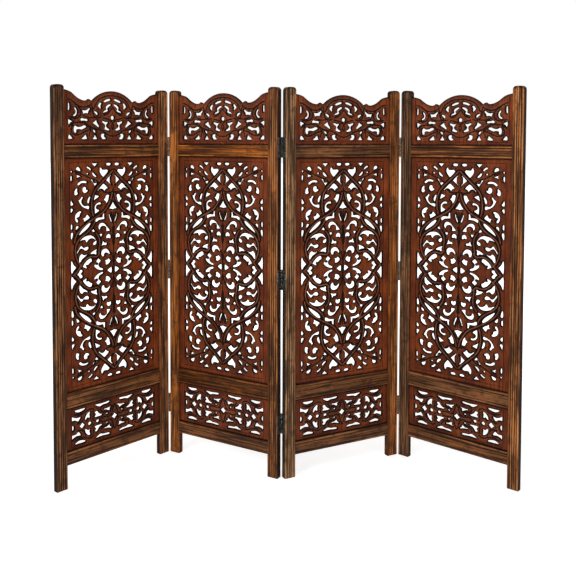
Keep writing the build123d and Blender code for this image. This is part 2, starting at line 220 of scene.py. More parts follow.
LOWER_OPENINGS = [
    [(10, 1), (30, 0), (61, 1), (59, 7), (46, 12), (32, 14), (19, 10)],
    [(102, 1), (135, 1), (171, 0), (171, 6), (160, 10), (140, 11), (126, 15), (116, 11)],
    [(0, 20), (8, 26), (22, 31), (41, 30), (37, 40), (28, 49), (17, 42), (6, 41), (0, 42)],
    [(81, 19), (82, 26), (80, 34), (81, 45), (77, 48), (71, 44), (61, 52), (56, 49), (58, 37),
     (67, 25)],
    [(103, 27), (113, 26), (119, 34), (126, 41), (138, 46), (134, 51), (118, 52), (101, 51),
     (100, 45), (105, 39), (100, 33)],
    [(143, 27), (158, 26), (169, 24), (180, 21), (180, 26), (173, 31), (172, 41), (164, 39),
     (154, 34), (143, 33)],
    [(157, 45), (162, 50), (157, 54), (152, 49)],
]
LOWER_HALF_OPENINGS = [
    [(10, 67.5), (7, 59), (1, 56), (0, 67.5)],
    [(31, 67.5), (38, 62), (45, 55), (52, 61), (58, 67.5)],
    [(70, 67.5), (74, 61), (80, 60), (88, 67.5)],
    [(106, 67.5), (109, 62), (118, 62), (122, 67.5)],
    [(178, 67.5, 1), (186, 61), (192.5, 53, 1)],
]
LOWER_VEINS = [
    [(8, 15), (24, 20), (42, 22), (58, 18), (70, 12), (86, 11), (97, 18)],
    [(92, 26), (93, 40), (91, 54), (97, 60)],
    [(20, 55), (34, 53), (47, 48), (55, 38), (60, 28)],
    [(124, 24), (134, 36), (148, 41), (160, 40)],
    [(176, 60), (180, 50), (184, 38), (188, 26), (192.5, 16)],
    [(128, 62), (142, 58), (154, 60), (168, 62), (174, 56)],
]
CREST_MIDDLE = (188.5, 249.0)
CREST_OPENINGS = [
    [(-8, 92), (-3, 90), (0, 98), (0, 115), (-3, 123), (-9, 120), (-9, 104)],
    [(19, 105), (26, 109), (32, 119), (32, 131), (25, 141), (14, 143), (12, 138), (20, 132),
     (23, 124), (18, 113)],
    [(51, 116), (64, 118), (75, 114), (84, 107), (90, 112), (83, 122), (80, 131), (68, 130),
     (57, 133), (54, 125)],
    [(43, 152), (51, 146), (62, 149), (75, 150), (80, 155), (74, 160), (60, 158), (46, 159)],
    [(-8, 151), (-2, 153), (14, 161, 1), (4, 166), (-3, 175), (-8, 170)],
    [(17, 178), (24, 175), (34, 180), (46, 179), (58, 174), (69, 175), (73, 181), (63, 187),
     (50, 192), (38, 190), (30, 193), (29, 203), (19, 204), (14, 193)],
    [(-8, 213), (-2, 208), (7, 216), (14, 226, 1), (-8, 226)],
    [(47, 226), (57, 217), (69, 207), (73, 216), (77, 226, 1), (62, 228)],
    [(97, 190), (105, 190), (113, 196), (111, 206), (115, 217), (121, 226), (109, 228), (96, 226),
     (103, 217), (106, 205), (100, 197)],
    [(116, 152), (121, 164), (130, 178), (126, 183), (112, 175), (96, 165, 1), (107, 158)],
    [(102, 122), (110, 120), (120, 124), (124, 132), (118, 137), (111, 131)],
    [(125, 93), (132, 86), (141, 88), (137, 100), (138, 109), (134, 113), (127, 107), (121, 100)],
    [(146, 83), (157, 75), (171, 71), (181, 71), (181, 78), (167, 83), (153, 87)],
    [(181, 91), (185, 95), (175, 103), (168, 110), (171, 117), (164, 122), (153, 125), (143, 129),
     (148, 119), (158, 113), (157, 103), (167, 94)],
    [(139, 156), (150, 157), (160, 160), (171, 158), (167, 167), (162, 174), (165, 181), (178, 190),
     (172, 194), (158, 192), (150, 188), (153, 178), (151, 170), (142, 164)],
    [(136, 207), (146, 204), (154, 206), (152, 214), (162, 226, 1), (149, 228), (140, 226),
     (134, 215)],
]
CREST_HALF_OPENINGS = [
    [(188.5, 135), (182, 138), (180, 144), (182, 150), (188.5, 153)],
]
CREST_VEINS = [
    [(104, 112), (109, 100), (116, 88), (128, 76), (145, 67), (165, 61.5), (188.5, 59.5)],
    [(-14, 78), (2, 82), (20, 92), (36, 102), (52, 107), (72, 105), (88, 98)],
    [(22, 97), (38, 107), (46, 122), (44, 138), (32, 148), (14, 149), (-4, 143)],
    [(60, 140), (78, 145), (94, 146), (110, 144)],
    [(-6, 181), (6, 170), (26, 165), (48, 165), (68, 168), (84, 178), (100, 185), (118, 189),
     (134, 192), (148, 198), (160, 206), (174, 213), (188.5, 215)],
    [(84, 216), (84, 204), (90, 192), (82, 184)],
    [(12, 172), (6, 186), (4, 197), (11, 207), (24, 212), (40, 209), (56, 202), (70, 196),
     (84, 192)],
    [(92, 92), (96, 104), (97, 120), (100, 134), (108, 142), (124, 146), (136, 142)],
    [(148, 136), (160, 132), (172, 124), (182, 112), (188.5, 104)],
    [(144, 146), (158, 148), (172, 152), (186, 162)],
    [(188.5, 165), (184, 176), (188.5, 192)],
]
# Heights of the crest's upper edge above its rail, at distances from the middle.
CREST_WING = 206.0
CREST_WAVE = [(205, 203.5), (192, 200), (182, 195.5), (169, 185.5), (155, 176), (143, 170.5),
              (131, 167.5), (118, 168), (109, 173.5)]
CREST_CUSP = (94, 167)
CREST_DOME = 207.0
DOME_STEPS = 42
CREST_FIELD_FOOT = 20.0  # plain wood below the crest's carving
CREST_FIELD_SPILL = 10.0  # the field runs on behind the stiles

# ---------------------------------------------------------------- smooth lines

FINE = 0.6  # spacing of the points that distances are measured to
RIM_SPACING = 2.4  # spacing of the mesh's points along an opening
SIDE_SPACING = 4.5  # and along a board's straight sides


def curve_span(before, start, end, after, count):
    """Points from start towards end on a centripetal Catmull-Rom curve."""
    knots = [0.0]
    for first, second in ((before, start), (start, end), (end, after)):
        knots.append(knots[-1] + max(np.linalg.norm(second - first), 1e-6) ** 0.5)
    t0, t1, t2, t3 = knots
    t = (t1 + (t2 - t1) * np.arange(count) / count)[:, None]
    a1 = ((t1 - t) * before + (t - t0) * start) / (t1 - t0)
    a2 = ((t2 - t) * start + (t - t1) * end) / (t2 - t1)
    a3 = ((t3 - t) * end + (t - t2) * after) / (t3 - t2)
    b1 = ((t2 - t) * a1 + (t - t0) * a2) / (t2 - t0)
    b2 = ((t3 - t) * a2 + (t - t1) * a3) / (t3 - t1)
    return ((t2 - t) * b1 + (t - t1) * b2) / (t2 - t1)


def smooth_line(drawn, closed, spacing):
    """A drawn line with its round stretches filled in and its sharp corners kept."""
    places = [np.array(point[:2], float) for point in drawn]
    sharp = [len(point) > 2 for point in drawn]
    if not closed:
        sharp[0] = sharp[-1] = True
    count = len(places)
    spans = []
    for i in range(count if closed else count - 1):
        j = (i + 1) % count
        start, end = places[i], places[j]
        before = start - (end - start) / 2 if sharp[i] else places[i - 1]
        after = end + (end - start) / 2 if sharp[j] else places[(j + 1) % count]
        steps = max(2, round(np.linalg.norm(end - start) / spacing))
        spans.append(curve_span(before, start, end, after, steps))
    if not closed:
        spans.append(places[-1][None])
    return np.vstack(spans)


def stepped(start, end, spacing):
    """Points from start up to, and without, end."""
    start, end = np.array(start, float), np.array(end, float)
    count = max(1, round(np.linalg.norm(end - start) / spacing))
    return start + (end - start) * (np.arange(count) / count)[:, None]


def rise(values, start, width):
    """0 up to start, then a smooth slope to 1."""
    share = np.clip((values - start) / width, 0, 1)
    return share * share * (3 - 2 * share)


def fall(values, start, width):
    """1 up to start, then a smooth slope to 0."""
    return 1 - rise(values, start, width)


def ridge(values, top, reach):
    """1 at the top, and smooth slopes to 0 on both sides."""
    return fall(np.abs(values - top), 0, reach)


def inside(points, ring):
    """Which points lie inside a closed ring."""
    x, y = points[:, 0], points[:, 1]
    found = np.zeros(len(points), bool)
    near = (x >= ring[:, 0].min()) & (x <= ring[:, 0].max())
    near &= (y >= ring[:, 1].min()) & (y <= ring[:, 1].max())
    x, y = x[near], y[near]
    hit = np.zeros(len(x), bool)
    for (x0, y0), (x1, y1) in zip(ring, np.roll(ring, -1, axis=0)):
        if y0 != y1:
            hit ^= ((y0 > y) != (y1 > y)) & (x < (x1 - x0) * (y - y0) / (y1 - y0) + x0)
    found[near] = hit
    return found


def distances(points, targets):
    """Distance of each point to the nearest target."""
    tree = kdtree.KDTree(len(targets))
    for index, target in enumerate(targets):
        tree.insert((target[0], target[1], 0), index)
    tree.balance()
    return np.array([tree.find((x, y, 0))[2] for x, y in points])


def beside(line, closed, offset):
    """Points at an offset to one side of a line."""
    if closed:
        heading = np.roll(line, -1, axis=0) - np.roll(line, 1, axis=0)
    else:
        heading = np.gradient(line, axis=0)
    length = np.maximum(np.linalg.norm(heading, axis=1), 1e-9)[:, None]
    return line + offset * np.column_stack([heading[:, 1], -heading[:, 0]]) / length


# ---------------------------------------------------------------- carved boards

# Spacing of the mesh's points
FIELD_GAP = 3.2  # on the carving
BORDER_GAP = 9.0  # on the plain border
LINE_GAP = 1.2  # along stems and veins
RIM_GAP = 1.5  # beside the rims
SCRIBE_GAP = 1.1  # along the scribed line
GRID_GAP = 0.72 * FIELD_GAP  # of the field's grid to the rows that were laid before it
GRID_SPILL = 1.5  # how far that grid goes past the field
RIM_ROOM = 1.0  # between the loose points and the rims
# Distances of their rows from what they follow
STEM_ROWS = (0, 0.62, 1.0, 1.3, 1.65)  # in half widths of the stem
STEM_STEP = 5  # a row has every fifth of the stem's fine points
VEIN_ROWS = (0, -1.5, 1.5)
VEIN_STEP = 4
RIM_ROWS = (1.3, 3.4)
SCRIBE_ROWS = (-1.2, 0, 1.2)
# Sizes of the relief
STEM_HALF = 4.4  # half width of a carved stem
STEM_CROWN = 1.0  # rise from its sides to its middle
STEM_DEPTH = 2.3  # of the grooves along it
VEIN_HALF = 2.8
VEIN_DEPTH = 1.6
RIM_WIDTH = 3.4
RIM_DROP = 2.5
INSET_MOST = 1.5  # how far a large opening is drawn in
INSET_LEAST = 0.3
INSET_GROWTH = 0.07  # with the size of an opening
SCOOP_DEPTH = 1.1  # of the hollow ground away from the rims
INNER_LINE = 8.4  # from the rim to a cut line that follows it
INNER_LINE_DEPTH = 0.8
SCRIBE_OFFSET = 5.0  # of the scribed line round the field
SCRIBE_DEPTH = 1.2
BORDER_DROP = 0.6
TOOL_MARK_DEPTH = 0.22
TOOL_MARK_SCALE = 0.09
FACE_DROP = 0.15  # how far a carved face lies behind the CAD one
# Where its slopes start and how wide they are, or where a ridge is and how far it reaches
SCOOP_SLOPE = (4.2, 5.0)
INNER_RIDGE = (INNER_LINE, 1.5)
RIM_SHADE = (1.6, 3.4)
RIM_WEAR_AND_HIGHLIGHT_RIDGE = (5.2, 2.0)
VEIN_SHADE = (0.6, 3.0)
VEIN_HIGHLIGHT_RIDGE = (5.0, 2.2)
VEIN_HIGHLIGHT_ROOM = 3.5  # from the rims
BORDER_SLOPE = (0, 2.0)
BORDER_SHADE = 5.5  # how far the rims' shade goes on over the border
SCRIBE_RIDGE = (SCRIBE_OFFSET, 1.7)
STILE_SEAM = (0.5, 4.0)
RAIL_SEAM = (2.0, 6.0)
# The same across a stem, in half widths of it
STEM_TOP = (0.85, 0.15)
STEM_GROOVE = [(0.75, 0.3), (1.4, 0.4)]
STEM_SHADE = [(0.45, 0.35), (1.5, 0.6)]
STEM_WEAR_AND_HIGHLIGHT = (0, 0.75)
# Strongest painted shade, partly stain at the seams, and strongest wear with painted highlight,
# where 1 is black and fully rubbed and lit
INNER_LINE_DARK = 0.6
VEIN_DARK = 0.72
STEM_DARK = 0.88
SCRIBE_DARK = 0.8
STILE_SEAM_DARK = 0.55
RAIL_SEAM_DARK = 0.8
RIM_WEAR_AND_HIGHLIGHT = 0.22
VEIN_HIGHLIGHT = 0.7


def drawn_in(places, closed):
    """An opening's drawn points moved inwards by the width of its eased rim."""
    flat = [np.array(place[:2]) for place in places]
    x, y = np.vstack(flat if closed else flat + [(0, 0)]).T
    area = np.sum(x * np.roll(y, -1) - np.roll(x, -1) * y) / 2
    turn = math.copysign(1, area)
    inset = min(INSET_MOST, INSET_LEAST + INSET_GROWTH * math.sqrt(abs(area)))
    moved = []
    for i, (spot, place) in enumerate(zip(flat, places)):
        on_line = np.abs(spot) < 1e-6
        mirror = np.where(on_line, -1.0, 1.0)
        before = flat[i - 1] if closed or i else flat[1] * mirror
        after = flat[(i + 1) % len(flat)] if closed or i < len(flat) - 1 else flat[-2] * mirror
        headings = [(end - start) / np.linalg.norm(end - start)
                    for start, end in ((before, spot), (spot, after))]
        inward = sum(turn * np.array([-heading[1], heading[0]]) for heading in headings)
        length = max(np.linalg.norm(inward), 0.9)
        shifted = spot + inward / length**2 * 2 * inset
        if not closed:
            shifted[on_line] = 0
        moved.append((*shifted, *place[2:]))
    return moved


def sifted(batches):
    """The points of each batch that stand its gap away from all those kept before them."""
    cells, kept = {}, []
    for batch, gap in batches:
        for point in map(tuple, batch):
            column, row = int(point[0] // FIELD_GAP), int(point[1] // FIELD_GAP)
            around = [(column + i, row + j) for i in (-1, 0, 1) for j in (-1, 0, 1)]
            near = [other for cell in around for other in cells.get(cell, ())]
            if all(math.dist(point, other) >= gap for other in near):
                cells.setdefault((column, row), []).append(point)
                kept.append(point)
    return kept


def hexagonal_grid(low, high, gap):
    """Evenly spread points over a rectangle."""
    rows = np.arange(low[1] + gap / 2, high[1], gap * math.sqrt(3) / 2)
    grid = []
    for number, y in enumerate(rows):
        columns = np.arange(low[0] + gap / 4 + gap / 2 * (number % 2), high[0], gap)
        grid.append(np.column_stack([columns, np.full(len(columns), y)]))
    return np.vstack(grid)


class Carving:
    """One quarter or half of a carved board, drawn from the board's middle lines.

    The drawing is its openings, half openings, stems and veins, and worked edges are outer edges
    with the same rim as an opening.
    """

    def __init__(self, outline, field, drawing_middle, stretch, drawing, worked_edges=()):
        self.outline = outline
        self.field_low, self.field_high = field
        self.drawing_middle = np.array(drawing_middle)
        self.stretch = np.array(stretch) * (1, -1)
        self.rings = []
        edges = []
        openings, half_openings, stems, veins = drawing
        outlines = [(drawn, True) for drawn in openings]
        outlines += [(drawn, False) for drawn in half_openings]
        for drawn, closed in outlines:
            places = drawn_in(self.placed(drawn), closed)
            ring = smooth_line(places, closed, RIM_SPACING)
            if not closed and np.abs(ring[0] - ring[-1]).min() > 1:
                ring = np.vstack([ring, [(0, 0)]])  # it turns from one middle line to the other
            self.rings.append(ring)
            edges.append(smooth_line(places, closed, FINE))
        self.edges = np.vstack([*edges, *worked_edges])
        self.stems, self.veins = (
            [smooth_line(self.placed(drawn), False, FINE) for drawn in lines]
            for lines in (stems, veins)
        )

    def placed(self, drawn):
        places = []
        for point in drawn:
            place = (np.array(point[:2], float) - self.drawing_middle) * self.stretch
            places.append((*place, *point[2:]))
        return places

    def solid(self, points):
        found = inside(points, self.outline)
        for ring in self.rings:
            found &= ~inside(points, ring)
        return found

    def outside_field(self, points):
        """How far points lie outside the carved field."""
        return np.maximum(self.field_low - points, points - self.field_high).max(axis=1)

    def loose_points(self):
        """Mesh points between the rims, the ones that follow the carving first."""
        batches = []
        for stem in self.stems:
            for share in STEM_ROWS:
                for side in (-1, 1) if share else (1,):
                    row = beside(stem[::STEM_STEP], False, side * share * STEM_HALF)
                    batches.append((row, LINE_GAP))
        for vein in self.veins:
            for offset in VEIN_ROWS:
                batches.append((beside(vein[::VEIN_STEP], False, offset), LINE_GAP))
        for offset in RIM_ROWS:
            for ring in [*self.rings, self.outline]:
                for side in (-1, 1):
                    batches.append((beside(ring, True, side * offset), RIM_GAP))
        low, high = self.outline.min(axis=0), self.outline.max(axis=0)
        grid = hexagonal_grid(low, high, FIELD_GAP)
        batches.append((grid[self.outside_field(grid) < GRID_SPILL], GRID_GAP))
        across = np.arange(low[0], high[0], RIM_SPACING)
        up = np.arange(low[1], high[1], RIM_SPACING)
        for step in SCRIBE_ROWS:
            offset = SCRIBE_OFFSET + step
            for level in (self.field_low[1] - offset, self.field_high[1] + offset):
                line = np.column_stack([across, np.full(len(across), level)])
                batches.append((line, SCRIBE_GAP))
            side = np.full(len(up), self.field_low[0] - offset)
            batches.append((np.column_stack([side, up]), SCRIBE_GAP))
        batches.append((hexagonal_grid(low, high, BORDER_GAP), FIELD_GAP))
        batches = [(batch[self.solid(batch)], gap) for batch, gap in batches]
        return sifted([(b[distances(b, self.edges) > RIM_ROOM], gap) for b, gap in batches])

    def triangles(self):
        """Points and triangles of the face."""
        points, links = [], []
        for ring in [self.outline] + self.rings:
            first = len(points)
            points += [tuple(point) for point in ring]
            links += [(first + i, first + (i + 1) % len(ring)) for i in range(len(ring))]
        points += self.loose_points()
        found, _, faces, *_ = geometry.delaunay_2d_cdt(
            [Vector(point) for point in points], links, [], 0, 1e-4
        )
        found = np.array([tuple(point) for point in found])
        faces = np.array(faces)
        faces = faces[self.solid(found[faces].mean(axis=1))]
        used, faces_used = np.unique(faces, return_inverse=True)
        return found[used], faces_used.reshape(-1, 3)

    def shape(self, points):
        """Columns of height, painted shade, and wear with painted highlight at each point."""
        edge = distances(points, self.edges)
        outside = self.outside_field(points)
        height = -SCOOP_DEPTH * rise(edge, *SCOOP_SLOPE)
        # wear with painted highlight on the lip round each rim
        rubbed_and_highlit = RIM_WEAR_AND_HIGHLIGHT * ridge(edge, *RIM_WEAR_AND_HIGHLIGHT_RIDGE)
        # painted shade on the rims, their walls and in the cut lines
        dark = fall(edge, *RIM_SHADE)
        inner_line = ridge(edge, *INNER_RIDGE)
        height -= INNER_LINE_DEPTH * inner_line
        dark = np.maximum(dark, INNER_LINE_DARK * inner_line)
        if self.veins:
            vein = distances(points, np.vstack(self.veins))
            height -= VEIN_DEPTH * ridge(vein, 0, VEIN_HALF)
            dark = np.maximum(dark, VEIN_DARK * fall(vein, *VEIN_SHADE))
            # painted highlight along both sides of a vein, away from the rims
            vein_highlight = VEIN_HIGHLIGHT * ridge(vein, *VEIN_HIGHLIGHT_RIDGE) * (edge > VEIN_HIGHLIGHT_ROOM)
            rubbed_and_highlit = np.maximum(rubbed_and_highlit, vein_highlight)
        if self.stems:
            stem = distances(points, np.vstack(self.stems)) / STEM_HALF
            on_stem = fall(stem, *STEM_TOP)
            groove = rise(stem, *STEM_GROOVE[0]) * fall(stem, *STEM_GROOVE[1])
            height = height * (1 - on_stem) - STEM_CROWN * np.minimum(stem, 1) ** 2 * on_stem
            height = np.minimum(height, -STEM_DEPTH * groove)
            # painted shade in the grooves beside a stem
            stem_dark = STEM_DARK * rise(stem, *STEM_SHADE[0]) * fall(stem, *STEM_SHADE[1])
            dark = np.maximum(dark * (1 - on_stem), stem_dark)
            # wear with painted highlight on a stem's crown
            rubbed_and_highlit = np.maximum(rubbed_and_highlit * (1 - on_stem), fall(stem, *STEM_WEAR_AND_HIGHLIGHT))
        border = rise(outside, *BORDER_SLOPE)
        height = height * (1 - border) - BORDER_DROP * border
        rubbed_and_highlit *= 1 - border
        dark *= 1 - border * (edge > BORDER_SHADE)
        scribe = ridge(outside, *SCRIBE_RIDGE)
        height -= SCRIBE_DEPTH * scribe
        # painted shade in the scribed line round the field
        dark = np.maximum(dark, SCRIBE_DARK * scribe)
        height = np.minimum(height, -RIM_DROP * fall(edge, 0, RIM_WIDTH))
        return np.column_stack([height, dark, rubbed_and_highlit])


def mirrored(rows, triangles, axis):
    """Points and triangles with their mirror images, joined on a middle line."""
    count = len(rows)
    away = np.abs(rows[:, axis]) > 1e-3
    images = rows[away].copy()
    images[:, axis] *= -1
    numbers = np.arange(count)
    numbers[away] = count + np.arange(away.sum())
    return np.vstack([rows, images]), np.vstack([triangles, numbers[triangles][:, ::-1]])


def open_edges(triangles):
    """Edges of only one triangle, in the direction that it runs them."""
    edges = np.vstack([triangles[:, [0, 1]], triangles[:, [1, 2]], triangles[:, [2, 0]]])
    size = triangles.max() + 1
    there = edges[:, 0] * size + edges[:, 1]
    back = edges[:, 1] * size + edges[:, 0]
    return edges[~np.isin(there, back)]


def set_values(mesh, name, kind, domain, values):
    attribute = mesh.attributes.new(name, kind, domain)
    attribute.data.foreach_set("value", np.asarray(values))


def tool_marks(points, seed):
    """Small unevenness that hand carving leaves, in millimetres."""
    places = [Vector((x * TOOL_MARK_SCALE, y * TOOL_MARK_SCALE, seed)) for x, y in points]
    return np.array([noise.noise(place) for place in places]) * TOOL_MARK_DEPTH


def board_mesh(name, carving, mirror_axes, centre_level, rail_distance):
    """A pierced board carved on both faces, in leaf places, with painted shade, partly stain,
    beside stiles and rails.
    """
    points, triangles = carving.triangles()
    rows = np.column_stack([points, carving.shape(points)])
    for axis in mirror_axes:
        rows, triangles = mirrored(rows, triangles, axis)
    count = len(rows)
    x, y, height, dark, rubbed_and_highlit = rows.T
    # painted shade, partly stain, on the board beside the stiles and rails
    by_stile = STILE_SEAM_DARK * fall(half_sight - np.abs(x), *STILE_SEAM)
    by_rail = RAIL_SEAM_DARK * fall(rail_distance(y), *RAIL_SEAM)
    dark = np.maximum.reduce([dark, by_stile, by_rail])
    front = board_front - height + tool_marks(rows[:, :2], 1.0) + FACE_DROP
    back = board_back + height + tool_marks(rows[:, :2], 9.0) - FACE_DROP
    places = np.vstack(
        [np.column_stack([middle + x, face, centre_level + y]) for face in (front, back)]
    )
    rims = open_edges(triangles)
    start, end = rims.T
    walls = [(end, start, start + count), (end, start + count, end + count)]
    walls = np.vstack([np.column_stack(corners) for corners in walls])
    faces = np.vstack([triangles, triangles[:, ::-1] + count, walls])
    mesh = bpy.data.meshes.new(name)
    mesh.from_pydata((places * MM).tolist(), [], faces.tolist())
    mesh.polygons.foreach_set("use_smooth", np.ones(len(faces), bool))
    links = np.empty(len(mesh.edges) * 2, int)
    mesh.edges.foreach_get("vertices", links)
    links = np.sort(links.reshape(-1, 2), axis=1)
    rim_links = np.sort(np.vstack([rims, rims + count]), axis=1)
    size = 2 * count
    sharp = np.isin(links @ (size, 1), rim_links @ (size, 1))
    set_values(mesh, "sharp_edge", "BOOLEAN", "EDGE", sharp)
    set_values(mesh, "dark", "FLOAT", "POINT", np.tile(dark, 2))
    set_values(mesh, "wear_and_highlight", "FLOAT", "POINT", np.tile(rubbed_and_highlit, 2))
    return mesh


def straight_sides(corners):
    """Points along the sides from each corner to the next."""
    return [stepped(start, end, SIDE_SPACING) for start, end in zip(corners, corners[1:])]


def quarter_board(name, rail_below, rail_above, drawing_middle, drawing_size, drawing):
    """A board whose pattern is one quarter turned over both middle lines."""
    low, high = lows[name], highs[name]
    half_width, _, half_height = (high - low) / 2
    half_opening = (lows[rail_above][2] - highs[rail_below][2]) / 2
    stretch = 2 * np.array([half_sight, half_opening]) / drawing_size
    corners = [(-half_width, 0), (0, 0), (0, half_height), (-half_width, half_height)]
    outline = np.vstack(straight_sides(corners + corners[:1]))
    field = np.array(drawing_middle) * stretch
    carving = Carving(outline, (-field, field), drawing_middle, stretch, drawing)
    level = (low[2] + high[2]) / 2
    return board_mesh(name, carving, (0, 1), level, lambda y: half_opening - np.abs(y))


def crest_edge_line():
    """The left half of the crest's upper edge, from the stile to the top of the dome."""
    shoulder = shoulder_level - crest_level
    wave = [(lows["crest_panel"][0] - middle, shoulder, 1), (-half_sight - 0.2, shoulder, 1)]
    wave += [(-half_sight, CREST_WING, 1), *((-x, y) for x, y in CREST_WAVE)]
    wave += [(-CREST_CUSP[0], CREST_CUSP[1], 1)]
    dome_rise = CREST_DOME - CREST_CUSP[1]
    radius = (CREST_CUSP[0] ** 2 + dome_rise**2) / (2 * dome_rise)
    turns = np.linspace(math.asin(CREST_CUSP[0] / radius), 0, DOME_STEPS)
    dome = np.column_stack(
        [-radius * np.sin(turns), CREST_DOME - radius * (1 - np.cos(turns))]
    )
    return np.vstack([smooth_line(wave, False, RIM_SPACING)[:-1], dome])


def crest_board(name):
    """The crest: one half turned over, under a wavy upper edge."""
    upper_edge = crest_edge_line()
    side, _, foot = lows[name] - (middle, 0, crest_level)
    sides = straight_sides([upper_edge[-1], (0, foot), (side, foot), upper_edge[0]])
    outline = np.vstack([upper_edge[:-1], *sides])[::-1]
    half_field = CREST_MIDDLE[0] + CREST_FIELD_SPILL
    field = np.array([(-half_field, CREST_FIELD_FOOT), (half_field, CREST_DOME)])
    carving = Carving(
        outline, field, CREST_MIDDLE, (1.0, 1.0),
        (CREST_OPENINGS, CREST_HALF_OPENINGS, [], CREST_VEINS),
        [stepped(a, b, FINE) for a, b in zip(upper_edge[4:-1], upper_edge[5:])],
    )
    return board_mesh(name, carving, (0,), crest_level, lambda y: y)


# ---------------------------------------------------------------- stiles and rails

ARRIS = 3.4  # rounding of long edges
HINGED_ARRIS = 1.2  # rounding of a stile's long edge beside the hinge pins
HINGED_REACH = 0.8  # how far the wood comes up round the hinge plates that are let into it
GROOVE_REACH = 4.1  # from a groove's bottom to the crown of the reed beside it
GROOVE_SECTION = GROOVE_REACH * np.array([-0.98, -0.6, -0.3, -0.12, 0, 0.12, 0.3, 0.6, 0.98])
GROOVE_DEPTH = 1.8
STILE_GROOVES = [10.0, 18.6, 27.2, 35.8]  # from the stile's inner edge
STILE_CROWN = 3.0  # rise of a stile's top from its sides to its middle
STILE_SHOULDER = 11.0  # rounding of its sides there
RAIL_BEAD = 9.0
REED_WIDTH = 8.6  # about, between a rail's beads
RAIL_SINK = 0.7  # of the reeds between its beads
# Strongest darkness, where 1 is black; in slots, grooves and reeds and on rounded edges it is
# painted shade
SLOT_DARK = 0.9  # in the grooves that hold the boards
TOP_DARK = 0.9
JOINT_DARK = 0.85  # where rails meet stiles
STILE_GROOVE_DARK = 0.85
RAIL_GROOVE_DARK = 0.8
REED_DARK = 0.45
INNER_EDGE_DARK = 0.6
OUTER_EDGE_DARK = 1.0
RAIL_EDGE_DARK = 0.65


def groove_profile(places, grooves):
    """Share of a groove's depth at each place across a moulding of rounded reeds."""
    share = np.zeros(len(places))
    for groove in grooves:
        away = np.abs(places - groove) / GROOVE_REACH
        share = np.maximum(share, np.clip(1 - away, 0, 1) ** 2)
    return share


def section_places(width, grooves):
    """Where a moulding's section needs points."""
    ends = ARRIS * np.array([0, 0.08, 0.3, 0.62, 1.0])
    places = [ends, width - ends, np.arange(ARRIS + 3, width - ARRIS - 2, 4.0)]
    places += [groove + GROOVE_SECTION for groove in grooves]
    places = np.unique(np.concatenate(places).round(3))
    return places[np.concatenate([[True], np.diff(places) > 0.12])]


def rounded_ends(places, width, far_radius=ARRIS):
    """How far a section falls back at its rounded ends."""
    near = np.minimum(places, width - places)
    radius = np.where(places > width / 2, far_radius, ARRIS)
    inside_arris = np.clip(radius - near, 0, radius)
    return radius - np.sqrt(radius**2 - inside_arris**2)


def worked_mesh():
    """A mesh in the making, and what adds a point to it with its darkness, mostly painted shade,
    and its wear with painted highlight.
    """
    bm = bmesh.new()
    layers = [bm.verts.layers.float.new(name) for name in ("dark", "wear_and_highlight")]

    def point(place, *values):
        made = bm.verts.new(place)
        for layer, value in zip(layers, values):
            made[layer] = value
        return made

    return bm, point


def skin(bm, rings, capped=True):
    """Faces between each ring of points and the next, and over the first and the last."""
    for lower, upper in zip(rings, rings[1:]):
        for i in range(len(lower)):
            j = (i + 1) % len(lower)
            bm.faces.new((lower[i], lower[j], upper[j], upper[i]))
    if capped:
        bm.faces.new(rings[0])
        bm.faces.new(rings[-1])


def finish_mesh(name, bm):
    """Merges what coincides, turns faces outwards and writes the mesh in metres."""
    bmesh.ops.remove_doubles(bm, verts=bm.verts, dist=0.005)
    bmesh.ops.dissolve_degenerate(bm, edges=bm.edges, dist=0.001)
    bmesh.ops.recalc_face_normals(bm, faces=bm.faces)
    bmesh.ops.scale(bm, vec=(MM, MM, MM), verts=bm.verts)
    mesh = bpy.data.meshes.new(name)
    bm.to_mesh(mesh)
    bm.free()
    mesh.polygons.foreach_set("use_smooth", np.full(len(mesh.polygons), True))
    mesh.set_sharp_from_angle(angle=math.radians(38))
    return mesh


def stile_top(place):
    """Level of a stile's top at a distance from its inner edge."""
    off_centre = abs(place - stile_width / 2) / (stile_width / 2)
    level = screen_height - STILE_CROWN * off_centre**2
    near = max(min(place, stile_width - place), 0)
    if near < STILE_SHOULDER:
        level -= STILE_SHOULDER - math.sqrt(STILE_SHOULDER**2 - (STILE_SHOULDER - near) ** 2)
    return level


